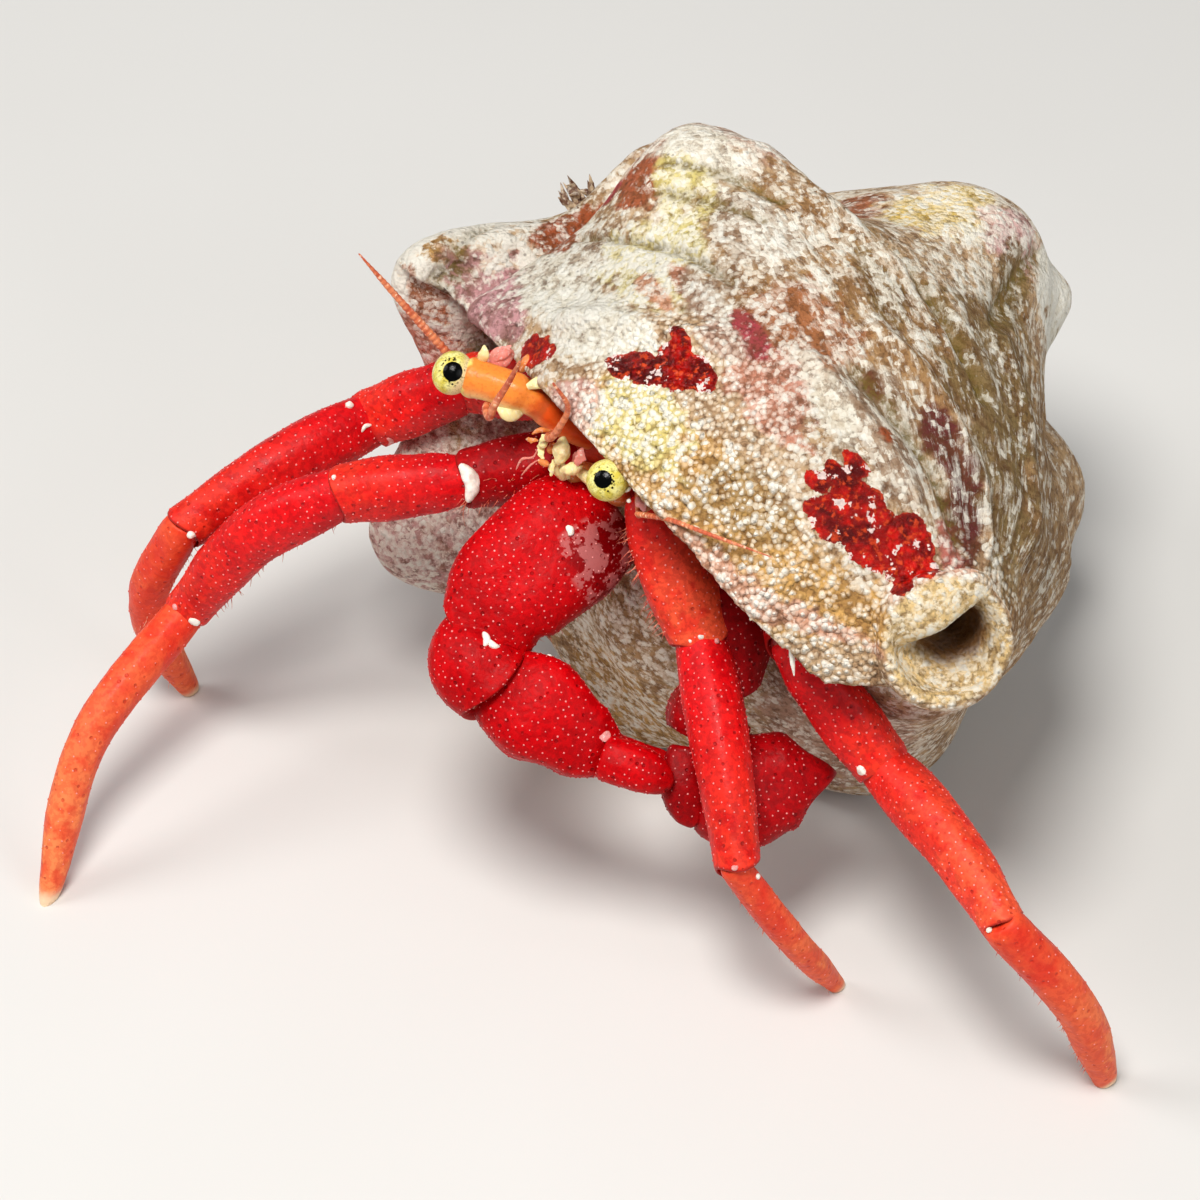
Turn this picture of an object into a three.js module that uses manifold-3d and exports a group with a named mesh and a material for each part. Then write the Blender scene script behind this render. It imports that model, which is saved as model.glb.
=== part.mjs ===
/**
 * A red reef hermit crab in a worn, knobbly snail shell.
 *
 * Units are millimetres and +Z is up. The crab faces -Y, so its left side is +X. It stands
 * on the tips of its four walking legs and on two low knobs of its shell, all level at z = 0.
 * Every piece is a round-ended sweep along a smooth curve, apart from the shell, whose surface
 * is a function of the distance along its axis and of the turn about it. Where two pieces meet,
 * the nearer one to the body is hollowed to receive the other, with GAP between them.
 */
import * as THREE from "three";
import { mergeVertices } from "three/addons/utils/BufferGeometryUtils.js";
import Module from "manifold-3d";

const wasm = await Module();
wasm.setup();

// ---- Driving dimensions ----

const GAP = 0.3; // clearance between neighbouring pieces
const LIMB_SIDES = 9; // faces round a limb
const FEELER_SIDES = 6;
const LIMB_RINGS = 7; // faces along a limb
const BEYOND = 100; // larger than the whole crab: the size of a block that cuts all of it
const BLUNT = 0.3; // how square the ends of a sweep are: 1 is an ellipsoid's, 0 is flat

// Places along the shell's axis are measured from its centre, towards the canal.
const SHELL = {
  centre: new THREE.Vector3(0, 0, 13), // on the axis, level with the shoulder
  axis: new THREE.Vector3(0.8, -0.553, 0.233).normalize(), // from the apex to the canal
  crown: new THREE.Vector3(-0.446, -0.288, 0.849), // roughly square to the axis, and up
  apex: -17.5,
  canal: 21,
  cuts: [-4.6, 16.4], // where the body whorl is parted from the spire and from the canal
  lipReach: 4.4, // how far forward of the axis the edge of the lip runs
  lipStraightRadius: 5, // the lip runs on as if the shell were never narrower than this
  wall: 1.3, // thickness
  columella: 2.6, // radius of the solid pillar inside
  columns: 36,
  rows: 25,
  evenRows: 0.6, // the share of the rows' spacing that is even: the rest crowds to the two ends
};
// Half-width of the shell, [along the axis, radius], from the apex to the canal.
const SHELL_PROFILE = [
  [-17.5, 0],
  [-16, 2.6],
  [-13, 5],
  [-9, 8.2],
  [-5, 10.8],
  [-1, 12],
  [4, 12.3],
  [8, 11.5],
  [12, 9.8],
  [16, 7.1],
  [18.8, 3.6],
  [21, 0],
];
// Worn knobs of the shoulder, and the dents between them, which have a height below 0: bearing
// round the axis and its spread in degrees, place along the axis and its spread, height.
const KNOBS = [
  { bearing: 21, spread: 17, along: -7, length: 3.6, height: 5.3 }, // on the spire, by the lip
  { bearing: 74, spread: 24, along: -6.4, length: 5, height: 5.3 }, // on the spire, at the right
  { bearing: -29, spread: 16, along: -2.8, length: 5, height: 2.5 }, // on the crown
  { bearing: -58, spread: 11, along: -2, length: 5, height: -1.7 }, // a dent beside it
  { bearing: -89, spread: 15, along: 0.8, length: 5, height: 3 }, // at the back
  { bearing: -107, spread: 8, along: 2, length: 1.7, height: 2.4 }, // a small one beside it
  { bearing: -119, spread: 10, along: 4.2, length: 4, height: -1.6 }, // a dent
  { bearing: -147, spread: 22, along: 2.5, length: 5.5, height: 3 }, // at the left
  { bearing: -140, spread: 22, along: 12, length: 3.5, height: 1.2 }, // and on towards the canal
  { bearing: 109, spread: 13, along: -3.2, length: 3.6, height: 1.4 }, // in front, under the crab
  { bearing: 160, spread: 24, along: 7.5, length: 4.5, height: 4.6 }, // low on the left
  { bearing: 172, spread: 17, along: -3.5, length: 5, height: 3 }, // under the back: a foot
  { bearing: 128, spread: 16, along: -1.5, length: 4.5, height: 3.4 }, // under the front: a foot
];

// Where the last whorl is drawn in, beside its mouth. depth is a share of the radius, and at and
// spread are in turns from the start of the whorl, under the lip.
const HOLLOWS = {
  behind: { depth: 0.6, at: 0, spread: 0.2, steepness: 1.6, from: -7, to: -3 }, // on the spire's side
  ahead: { depth: 0.8, at: 0, spread: 0.31, steepness: 2, from: 3, to: 11 }, // on the canal's side
  waist: { depth: 0.17, at: 0.52, spread: 0.22, steepness: 2 }, // with the one ahead
};
// The lip's thickened edge: it fades out towards the spire and towards the canal.
const LIP_FLARE = { height: 0.9, spread: 0.04, from: -5, full: -1, fading: 15, gone: 19 };
// The groove between the turns of the spire: its first place under the lip, its depth as a share
// of the radius.
const SUTURE = { start: -4, pitch: 5, depth: 0.13, spread: 0.8 };
// The room inside, from the lip (a turn of 1) back. It narrows from the mouth to its far end.
const CAVITY = {
  mouthTurn: 1.012, // just past the lip, so that it opens
  endTurn: 0.392,
  crowding: 1.1, // how much nearer together its rings are at the mouth
  mouth: { middle: 6.4, halfLength: 10, inset: 0 },
  end: { middle: -2.5, halfLength: 3, inset: 1.2 },
  roundness: 14, // how soon its two ends open out
  columellaTaper: 0.08, // how much thinner the pillar gets for each millimetre along
  columns: 14,
  rows: 12,
};

const CORNEA_RADIUS = 0.95;
const CORNEA_BACK = 0.75; // how far behind and ahead of the eyestalk's end the cornea reaches
const CORNEA_AHEAD = 0.85;
const EYESTALK_RADIUS = 0.68;
const EYESTALK_SHORT = 0.3; // how far short of the eye's centre the stalk stops

// ---- Colours ----

const finish = (color, roughness) => new THREE.MeshStandardMaterial({ color, roughness, metalness: 0 });
const SCARLET = finish("#c9141a", 0.45);
const DEEP_RED = finish("#8d0d14", 0.5);
const ORANGE = finish("#ee6a3c", 0.45);
const PALE_PINK = finish("#e9b39a", 0.6);
const YELLOW_EYE = finish("#e9d96a", 0.2);
const SHELL_CREAM = finish("#c9b695", 0.85);

// ---- Solids ----

const { clamp, lerp, smoothstep, euclideanModulo, degToRad, radToDeg } = THREE.MathUtils;
const vec = (x, y, z) => new THREE.Vector3(x, y, z);
const UP = vec(0, 0, 1);

// A manifold-3d solid from a closed three.js geometry, with its faces turned outwards. Faces
// that the merging of their corners leaves empty are dropped.
function solidFrom(geometry) {
  const bare = geometry.clone();
  bare.deleteAttribute("normal");
  bare.deleteAttribute("uv");
  const merged = mergeVertices(bare, 1e-4);
  const make = (triVerts) =>
    new wasm.Manifold(
      new wasm.Mesh({ numProp: 3, vertProperties: merged.attributes.position.array, triVerts }),
    );
  const corners = merged.index.array;
  const kept = [];
  for (let i = 0; i < corners.length; i += 3) {
    const [a, b, c] = corners.slice(i, i + 3);
    if (a !== b && b !== c && c !== a) kept.push(a, b, c);
  }
  const triVerts = new Uint32Array(kept);
  const solid = make(triVerts);
  return solid.volume() > 0 ? solid : make(triVerts.reverse());
}

// A closed skin from place(around, along), where both run from 0 to 1, around comes back to
// where it starts, and along 0 and 1 are single points.
function skin(columns, rows, place) {
  const geometry = new THREE.SphereGeometry(1, columns, rows);
  const { position, uv } = geometry.attributes;
  for (let i = 0; i < position.count; i++) {
    const around = Math.round(uv.getX(i) * columns) / columns;
    const point = place(around === 1 ? 0 : around, 1 - uv.getY(i));
    position.setXYZ(i, point.x, point.y, point.z);
  }
  return solidFrom(geometry);
}

// The value at a share (0 to 1) of the way along a list, eased from one entry to the next.
function valueAt(list, share) {
  const place = clamp(share, 0, 1) * (list.length - 1);
  const index = Math.min(Math.floor(place), list.length - 2);
  const rest = place - index;
  return lerp(list[index], list[index + 1], rest * rest * (3 - 2 * rest));
}

// A round-ended body along a smooth curve through points. Widths and heights are half-sizes
// across and up, evenly spaced from the first point to the last. A positive grow fattens it.
function sweep({ points, widths, heights = widths, up = UP, blunt = BLUNT, sides = LIMB_SIDES }, grow = 0) {
  const curve = new THREE.CatmullRomCurve3(points, false, "centripetal");
  return skin(sides, LIMB_RINGS, (around, along) => {
    const share = (1 - Math.cos(Math.PI * along)) / 2;
    const fullness = (4 * share * (1 - share)) ** (blunt / 2);
    const tangent = curve.getTangentAt(share);
    const side = up.clone().cross(tangent).normalize();
    const top = tangent.clone().cross(side);
    const turn = 2 * Math.PI * around;
    return curve
      .getPointAt(share)
      .addScaledVector(tangent, grow * (2 * share - 1))
      .addScaledVector(side, Math.cos(turn) * fullness * (valueAt(widths, share) + grow))
      .addScaledVector(top, Math.sin(turn) * fullness * (valueAt(heights, share) + grow));
  });
}

const largest = (solid) =>
  solid.decompose().reduce((best, body) => (body.volume() > best.volume() ? body : best));

// ---- The shell ----

const CROWN = SHELL.crown.clone().projectOnPlane(SHELL.axis).normalize(); // bearing 0, above the axis
const FRONT = SHELL.axis.clone().cross(CROWN); // bearing 90, down in front of it

// A point of the shell's own frame.
const inShell = (along, crown, front) =>
  SHELL.centre
    .clone()
    .addScaledVector(SHELL.axis, along)
    .addScaledVector(CROWN, crown)
    .addScaledVector(FRONT, front);
const round = (along, bearing, radius) =>
  inShell(along, radius * Math.cos(degToRad(bearing)), radius * Math.sin(degToRad(bearing)));

// Radius of the plain profile at a place along the axis.
function profileRadius(along) {
  const last = SHELL_PROFILE.length - 1;
  const next = clamp(SHELL_PROFILE.findIndex(([place]) => place >= along), 1, last);
  const [from, radius] = SHELL_PROFILE[next - 1];
  const [to, nextRadius] = SHELL_PROFILE[next];
  return lerp(radius, nextRadius, clamp((along - from) / (to - from), 0, 1));
}

// Bearing of the lip's edge in degrees: it runs straight past the axis, lipReach in front of it.
function lipBearing(along) {
  const radius = Math.max(profileRadius(Math.max(along, 0)), SHELL.lipStraightRadius);
  return radToDeg(Math.asin(SHELL.lipReach / radius));
}

const bearingOf = (along, turn) => lipBearing(along) - 360 * (1 - turn);

// A smooth hump: 1 at a distance of 0, and next to nothing at twice the spread.
const hump = (distance, spread, steepness = 2) => Math.exp(-(Math.abs(distance / spread) ** steepness));

const hollow = ({ depth, at, spread, steepness }, turn) => depth * hump(turn - at, spread, steepness);

// The share of the radius that the hollows beside the mouth take away.
function drawnIn(along, turn) {
  const { behind, ahead, waist } = HOLLOWS;
  const onSpireSide = hollow(behind, turn) * smoothstep(along, behind.from, behind.to);
  const onCanalSide = hollow(ahead, turn) + hollow(waist, turn);
  return lerp(onSpireSide, onCanalSide, smoothstep(along, ahead.from, ahead.to));
}

// How deep the suture has cut in at a place, as a share of the radius.
function sutureDepth(along, turn) {
  const groove = SUTURE.start - SUTURE.pitch * (1 - turn);
  if (along > groove + SUTURE.pitch / 2) return 0;
  const past = euclideanModulo(along - groove, SUTURE.pitch);
  return SUTURE.depth * hump(Math.min(past, SUTURE.pitch - past), SUTURE.spread);
}

// Radius of the outside. turn is 0 where the last whorl starts, under the lip, and 1 at the lip.
function shellRadius(along, turn) {
  const plain = profileRadius(along);
  const { height, spread, from, full, fading, gone } = LIP_FLARE;
  const flare = height * hump(1 - turn, spread) * smoothstep(along, from, full);
  const whorl = plain * (1 - drawnIn(along, turn)) + flare * (1 - smoothstep(along, fading, gone));
  const knobs = KNOBS.map((knob) => {
    const aside = euclideanModulo(bearingOf(along, turn) - knob.bearing + 180, 360) - 180;
    return knob.height * hump(aside, knob.spread) * hump(along - knob.along, knob.length);
  });
  const knobbliness = smoothstep(plain, 0, 4); // none at the two ends, where the shell is a point
  return knobs.reduce((radius, knob) => radius + knob * knobbliness, whorl * (1 - sutureDepth(along, turn)));
}

function shellOutside() {
  const { columns, rows, apex, canal, evenRows } = SHELL;
  return skin(columns, rows, (around, along) => {
    // The last column closes the step from the lip down to the start of the whorl.
    const turn = 1 - Math.min((around * columns) / (columns - 1), 1);
    const crowded = (1 - Math.cos(Math.PI * along)) / 2;
    const place = lerp(apex, canal, lerp(crowded, along, evenRows));
    return round(place, bearingOf(place, turn), shellRadius(place, turn));
  });
}

// The room inside, from the mouth under the lip back round the pillar.
function shellCavity() {
  const { mouthTurn, endTurn, crowding, mouth, end, roundness, columellaTaper } = CAVITY;
  return skin(CAVITY.columns, CAVITY.rows, (around, along) => {
    const turn = lerp(mouthTurn, endTurn, along ** crowding);
    const depth = clamp((1 - turn) / (1 - endTurn), 0, 1);
    const openness = Math.min(Math.sin(Math.PI * along) * roundness, 1) ** 0.5;
    const angle = 2 * Math.PI * around;
    const halfLength = lerp(mouth.halfLength, end.halfLength, depth) * openness;
    const place = lerp(mouth.middle, end.middle, depth) + halfLength * Math.cos(angle);
    const inset = lerp(mouth.inset, end.inset, depth);
    const outer = shellRadius(place, Math.min(turn, 1)) - SHELL.wall - inset;
    const inner = SHELL.columella - columellaTaper * place + inset;
    const radius = lerp(inner, outer, (1 + Math.sin(angle) * openness) / 2);
    return round(place, bearingOf(place, turn), Math.max(radius, inner));
  });
}

// The spout at the shell's front end, where the lip folds over, and the hollow in it.
const CANAL_TUBE = {
  points: [inShell(14.0, -0.1, 0.2), inShell(17.5, 0.7, -0.2), inShell(20.5, 2.0, -0.2)],
  widths: [3.0, 2.5, 2.3, 2.6, 3.2],
  up: CROWN,
  blunt: 0.2,
};
const CANAL_HOLLOW = {
  points: [inShell(17.1, 0.3, -0.6), inShell(18.6, 1.0, -0.5), inShell(19.8, 1.6, -0.4), inShell(21.9, 2.8, -0.1)],
  widths: [0.5, 1.15, 2.2, 3.1],
  up: CROWN,
};

// A thin slab square to the shell's axis, to part the shell there.
function partingSlab(along) {
  const slab = new THREE.BoxGeometry(BEYOND, GAP, BEYOND);
  slab.applyQuaternion(new THREE.Quaternion().setFromUnitVectors(vec(0, 1, 0), SHELL.axis));
  const { x, y, z } = inShell(along, 0, 0);
  return solidFrom(slab.translate(x, y, z));
}

// ---- The crab ----

// Each walking leg: its four articles run between its joints, from the body to the tip, which
// reaches just under the floor so that cutting it level leaves a flat. bows holds the middle of
// an article that is arched.
const WALKING_LEGS = {
  right_front_leg: {
    joints: [
      vec(-2.6, -7.0, 17.2),
      vec(-7.3, -10.3, 16.2),
      vec(-11.7, -12.9, 15.4),
      vec(-17.5, -15.9, 8.4),
      vec(-18.2, -26.4, -0.25),
    ],
    bows: { propodus: vec(-14.6, -14.6, 13.2), dactyl: vec(-18.6, -22.0, 5.5) },
    girth: 1,
    tipGirth: 1.05,
  },
  right_rear_leg: {
    joints: [
      vec(-4.6, -4.2, 17.6),
      vec(-10.0, -5.3, 16.3),
      vec(-13.9, -6.8, 13.6),
      vec(-18.4, -14.7, 11.6),
      vec(-19.6, -13.0, -0.25),
    ],
    bows: { propodus: vec(-15.9, -10.8, 13.3), dactyl: vec(-20.2, -15.0, 6.6) },
    girth: 1.05,
    tipGirth: 0.95,
  },
  left_front_leg: {
    joints: [
      vec(0.9, -6.9, 18.6),
      vec(1.3, -9.8, 18.5),
      vec(4.5, -11.5, 14.0),
      vec(9.8, -17.8, 9.0),
      vec(12.6, -13.9, -0.25),
    ],
    bows: { propodus: vec(7.3, -14.8, 11.9), dactyl: vec(11.6, -16.4, 4.6) },
    girth: 1,
    tipGirth: 0.72,
  },
  left_rear_leg: {
    joints: [
      vec(3.5, -7.0, 17.1),
      vec(8.7, -11.5, 15.6),
      vec(13.0, -11.7, 11.2),
      vec(20.7, -15.7, 9.6),
      vec(24.4, -13.0, -0.25),
    ],
    bows: {
      merus: vec(6.6, -8.6, 16.1),
      propodus: vec(16.9, -13.6, 10.8),
      dactyl: vec(23.2, -14.4, 5.4),
    },
    girth: 0.98,
    tipGirth: 1.05,
  },
};
// Half-widths and half-heights of a walking leg's articles, and how far each reaches back
// into the one before.
const ARTICLES = {
  merus: { widths: [1.0, 1.3, 1.35, 1.2], heights: [1.1, 1.4, 1.5, 1.3], back: 0 },
  carpus: { widths: [0.85, 1.15, 1.3, 1.25], heights: [0.9, 1.3, 1.4, 1.3], back: 0.3 },
  propodus: { widths: [1.0, 1.2, 1.1, 0.95], heights: [1.1, 1.35, 1.25, 1.0], back: 0.4 },
  dactyl: { widths: [0.8, 0.82, 0.74, 0.5], heights: [0.86, 0.9, 0.8, 0.52], back: 0.4 },
};

// A leg's articles, the tip first.
function walkingLeg(name, { joints, bows, girth, tipGirth }) {
  return Object.entries(ARTICLES)
    .map(([article, { widths, heights, back }], index) => {
      const [start, end] = [joints[index], joints[index + 1]];
      const points = bows[article] ? [start, bows[article], end] : [start, end];
      const overlap = points[1].clone().sub(start).setLength(back);
      const size = article === "dactyl" ? tipGirth : girth;
      return {
        name: name + "_" + article,
        finish: article === "dactyl" ? ORANGE : SCARLET,
        points: [start.clone().sub(overlap), ...points.slice(1)],
        widths: widths.map((width) => width * size),
        heights: heights.map((height) => height * size),
      };
    })
    .reverse();
}

// Right claw, held across the front with its tip to the middle, and the left one below it. The
// broad faces of their flattened articles all look the same way.
const CLAW_FACING = vec(0.354, -0.612, 0.707);
const CLAWS = [
  {
    name: "right_claw_finger",
    points: [vec(2.8, -16.5, 10.8), vec(4.3, -16.2, 10.6), vec(5.4, -15.7, 9.9)],
    widths: [0.95, 0.9, 0.65],
  },
  {
    name: "right_claw_palm",
    points: [
      vec(-1.8, -16.6, 12.4),
      vec(0.3, -16.5, 11.8),
      vec(2.1, -16.1, 10.7),
      vec(3.0, -15.3, 9.9),
      vec(4.5, -14.1, 9.4),
    ],
    widths: [1.8, 2.2, 1.7, 0.8, 0.5],
    heights: [1.4, 1.6, 1.3, 0.7, 0.45],
    up: CLAW_FACING,
  },
  {
    name: "right_claw_carpus",
    points: [vec(-3.4, -15.3, 13.6), vec(-3.0, -16.5, 13.1), vec(-1.7, -16.9, 12.6)],
    widths: [1.75, 1.95, 1.8],
    heights: [1.5, 1.75, 1.6],
    up: CLAW_FACING,
  },
  {
    name: "right_claw_merus",
    points: [vec(-0.9, -9.2, 16.6), vec(-2.2, -11.9, 15.9), vec(-3.2, -14.2, 14.7), vec(-3.4, -15.5, 13.6)],
    widths: [2.2, 2.7, 2.6, 2.0],
    heights: [1.5, 1.9, 1.9, 1.7],
    up: CLAW_FACING,
  },
  {
    name: "left_claw_finger",
    points: [vec(5.2, -13.9, 10.3), vec(5.6, -15.0, 9.3), vec(6.4, -15.7, 8.0)],
    widths: [0.75, 0.85, 0.6],
  },
  {
    name: "left_claw_palm",
    points: [vec(6.1, -14.1, 8.9), vec(7.5, -13.5, 8.6), vec(8.7, -12.4, 8.7), vec(10.1, -11.3, 8.8)],
    widths: [2.1, 2.35, 2.0, 0.9],
    heights: [1.4, 1.5, 1.4, 0.8],
    up: CLAW_FACING,
  },
  {
    name: "left_claw_carpus",
    points: [vec(5.5, -11.6, 11.1), vec(5.3, -12.2, 10.6), vec(5.5, -12.7, 10.0)],
    widths: [1.5, 1.75, 1.6],
    up: CLAW_FACING,
  },
  {
    name: "left_claw_merus",
    points: [vec(2.9, -8.8, 16.4), vec(4.9, -10.0, 13.5), vec(5.5, -11.4, 11.5)],
    widths: [1.3, 1.8, 1.5],
    up: CLAW_FACING,
  },
];

const EYES = {
  right: { base: vec(-2.2, -8.2, 18.9), top: vec(-7.7, -10.2, 21.8) },
  left: { base: vec(-0.6, -8.0, 18.9), top: vec(0.5, -12.1, 21.4) },
};

function eye(side, { base, top }) {
  const lengthwise = top.clone().sub(base).normalize();
  return [
    {
      name: side + "_cornea",
      finish: YELLOW_EYE,
      points: [-CORNEA_BACK, CORNEA_AHEAD].map((reach) => top.clone().addScaledVector(lengthwise, reach)),
      widths: [CORNEA_RADIUS, CORNEA_RADIUS],
      blunt: 0.8,
    },
    {
      name: side + "_eyestalk",
      finish: ORANGE,
      points: [base, top.clone().addScaledVector(lengthwise, -EYESTALK_SHORT)],
      widths: [1.05, 0.95, 1.1].map((share) => EYESTALK_RADIUS * share),
    },
  ];
}

const FEELERS = [
  {
    name: "right_antenna_flagellum",
    finish: ORANGE,
    points: [vec(-8.9, -8.0, 20.0), vec(-11.3, -8.4, 22.7), vec(-13.0, -8.7, 24.7)],
    widths: [0.32, 0.28, 0.25],
  },
  {
    name: "right_antenna_stalk",
    finish: PALE_PINK,
    points: [vec(-3.6, -6.9, 19.4), vec(-6.3, -7.6, 19.3), vec(-9.0, -8.0, 20.0)],
    widths: [0.75, 0.7, 0.45],
  },
  {
    name: "left_antenna_flagellum",
    finish: ORANGE,
    points: [vec(1.9, -12.3, 20.4), vec(3.9, -13.1, 21.7), vec(5.6, -13.4, 22.1), vec(8.5, -13.2, 22)],
    widths: [0.3, 0.27, 0.25],
  },
  {
    name: "left_antenna_stalk",
    finish: PALE_PINK,
    points: [vec(0.2, -7.6, 17.4), vec(1.2, -9.9, 19.4), vec(1.9, -12.1, 20.1)],
    widths: [0.7, 0.6, 0.45],
  },
  {
    name: "right_antennule",
    finish: PALE_PINK,
    points: [vec(-1.9, -9.0, 19.9), vec(-4.4, -11.0, 21.7), vec(-4.4, -11.6, 23.8), vec(-3.6, -11.7, 25.8)],
    widths: [0.4, 0.32, 0.28, 0.25],
  },
  {
    name: "left_antennule",
    finish: PALE_PINK,
    points: [vec(-1.3, -9.0, 19.8), vec(-2.4, -10.5, 21.2), vec(-2.0, -10.9, 23.2), vec(-2.3, -11.3, 24.6)],
    widths: [0.4, 0.32, 0.28, 0.25],
  },
];

const MOUTH = [
  {
    name: "right_maxilliped",
    finish: PALE_PINK,
    points: [vec(-2.0, -8.6, 17.4), vec(-2.8, -10.6, 19.2), vec(-3.2, -10.9, 18.0)],
    widths: [0.7, 0.6, 0.35],
    sides: FEELER_SIDES,
  },
  {
    name: "left_maxilliped",
    finish: PALE_PINK,
    points: [vec(-0.7, -8.6, 17.4), vec(-1.0, -10.6, 19.0), vec(-1.4, -11.1, 17.9)],
    widths: [0.7, 0.6, 0.35],
    sides: FEELER_SIDES,
  },
];

const TRUNK = [
  {
    name: "carapace",
    finish: DEEP_RED,
    points: [vec(-1.6, -8.6, 18.2), vec(-1.7, -6.6, 19.4), vec(-0.6, -3.4, 20.9)],
    widths: [1.5, 3.0, 3.2, 2.6],
    heights: [1.0, 1.9, 2.2, 1.9],
  },
  {
    name: "abdomen",
    finish: PALE_PINK,
    points: [0, 1, 2, 3, 4].map((step) => round(3 - 1.4 * step, -26 - 34 * step, 8.4 - 0.45 * step)),
    widths: [2.6, 3.4, 3.0, 2.2, 1.2],
    heights: [2.0, 2.6, 2.2, 1.7, 1.0],
    up: SHELL.axis,
  },
  ...["right", "left"].map((side) => {
    const outward = side === "right" ? -1 : 1;
    return {
      name: side + "_hind_leg",
      finish: SCARLET,
      points: [
        inShell(3 + 2.2 * outward, 7.6, 0.2),
        inShell(3 + 4.4 * outward, 8.2, -1.5),
        inShell(3 + 4.8 * outward, 7.0, -4.0),
      ],
      widths: [0.8, 0.75, 0.4],
    };
  }),
];

// ---- Assembly ----

const crab = new THREE.Group();

// Everything below the floor is cut away, which leaves the small flats that the crab stands on.
const floorBlock = solidFrom(new THREE.BoxGeometry(BEYOND, BEYOND, BEYOND).translate(0, 0, -BEYOND / 2));

const overlapping = (a, b) => {
  const [first, second] = [a.boundingBox(), b.boundingBox()];
  return [0, 1, 2].every((i) => first.min[i] < second.max[i] && second.min[i] < first.max[i]);
};

// The solid less the clearance round each piece that is already in place.
function clearOf(solid, pieces) {
  const near = pieces.filter((piece) => overlapping(solid, piece));
  return largest(near.reduce((rest, piece) => rest.subtract(piece), solid));
}

function addMesh(name, solid, material) {
  const { numProp, vertProperties, triVerts } = solid.getMesh();
  const geometry = new THREE.BufferGeometry();
  geometry.setAttribute("position", new THREE.BufferAttribute(vertProperties, numProp));
  geometry.setIndex(new THREE.BufferAttribute(triVerts, 1));
  geometry.computeVertexNormals();
  const mesh = new THREE.Mesh(geometry, material);
  mesh.name = name;
  crab.add(mesh);
}

// Outer pieces come first, so that each later one is hollowed to receive them.
const pieces = [
  ...Object.entries(EYES).flatMap(([side, places]) => eye(side, places)),
  ...Object.entries(WALKING_LEGS).flatMap(([name, leg]) => walkingLeg(name, leg)),
  ...CLAWS,
  ...FEELERS.map((feeler) => ({ ...feeler, sides: FEELER_SIDES })),
  ...MOUTH,
  ...TRUNK,
];
const clearances = [];
for (const piece of pieces) {
  const solid = clearOf(sweep(piece).subtract(floorBlock), clearances);
  addMesh(piece.name, solid, piece.finish ?? SCARLET);
  clearances.push(sweep(piece, GAP));
}

// The shell is modelled whole, parted by two thin cuts, and named from the apex to the canal.
const wholeShell = clearOf(
  shellOutside()
    .add(sweep(CANAL_TUBE))
    .subtract(shellCavity())
    .subtract(sweep(CANAL_HOLLOW))
    .subtract(floorBlock),
  clearances,
);
const alongAxis = (solid) => {
  const { min, max } = solid.boundingBox();
  return vec(...min).add(vec(...max)).multiplyScalar(0.5).sub(SHELL.centre).dot(SHELL.axis);
};
const SHELL_PARTS = ["shell_spire", "shell_body_whorl", "shell_siphonal_canal"];
const shellParts = SHELL.cuts
  .reduce((rest, along) => rest.subtract(partingSlab(along)), wholeShell)
  .decompose()
  .sort((a, b) => b.volume() - a.volume())
  .slice(0, SHELL_PARTS.length)
  .sort((a, b) => alongAxis(a) - alongAxis(b));
SHELL_PARTS.forEach((name, index) => addMesh(name, shellParts[index], SHELL_CREAM));

// The origin is the middle of the crab's outline on the floor.
const middle = new THREE.Box3().setFromObject(crab).getCenter(vec(0, 0, 0));
crab.position.set(-middle.x, -middle.y, 0);

export default crab;
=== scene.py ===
"""The looks of a still, life-size model of a red reef hermit crab in a worn, knobbly snail shell.

Lengths are in millimetres in the part's own design frame, where the crab faces -Y and its left
side is +X. put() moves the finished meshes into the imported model's frame, in metres.
"""

import math

import bpy  # noqa: E402
import numpy as np  # noqa: E402
from mathutils import Matrix, Vector  # noqa: E402
from mathutils.kdtree import KDTree  # noqa: E402


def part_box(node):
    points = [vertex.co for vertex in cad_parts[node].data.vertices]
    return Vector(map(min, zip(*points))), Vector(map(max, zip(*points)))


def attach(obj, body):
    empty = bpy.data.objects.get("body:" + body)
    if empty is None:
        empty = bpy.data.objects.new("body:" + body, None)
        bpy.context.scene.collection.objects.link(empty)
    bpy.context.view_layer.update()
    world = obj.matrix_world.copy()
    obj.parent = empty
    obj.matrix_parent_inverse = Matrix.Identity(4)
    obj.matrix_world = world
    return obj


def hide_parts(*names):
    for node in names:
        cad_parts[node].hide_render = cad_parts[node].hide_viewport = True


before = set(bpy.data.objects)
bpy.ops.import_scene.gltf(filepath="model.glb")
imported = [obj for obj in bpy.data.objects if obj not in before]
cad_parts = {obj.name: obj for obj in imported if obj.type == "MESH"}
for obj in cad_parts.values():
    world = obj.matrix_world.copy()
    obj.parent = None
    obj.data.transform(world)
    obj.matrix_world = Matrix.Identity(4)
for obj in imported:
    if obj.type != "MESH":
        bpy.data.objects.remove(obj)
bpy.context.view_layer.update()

# ---- Driving dimensions, the same as the solids' ----

UP = np.array([0.0, 0.0, 1.0])
CLAW_FACING = np.array([0.354, -0.612, 0.707])
BLUNT = 0.3  # how square the ends of a sweep are: 1 is an ellipsoid's, 0 is flat
CAD_SIDES, CAD_RINGS = 9, 7

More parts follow.
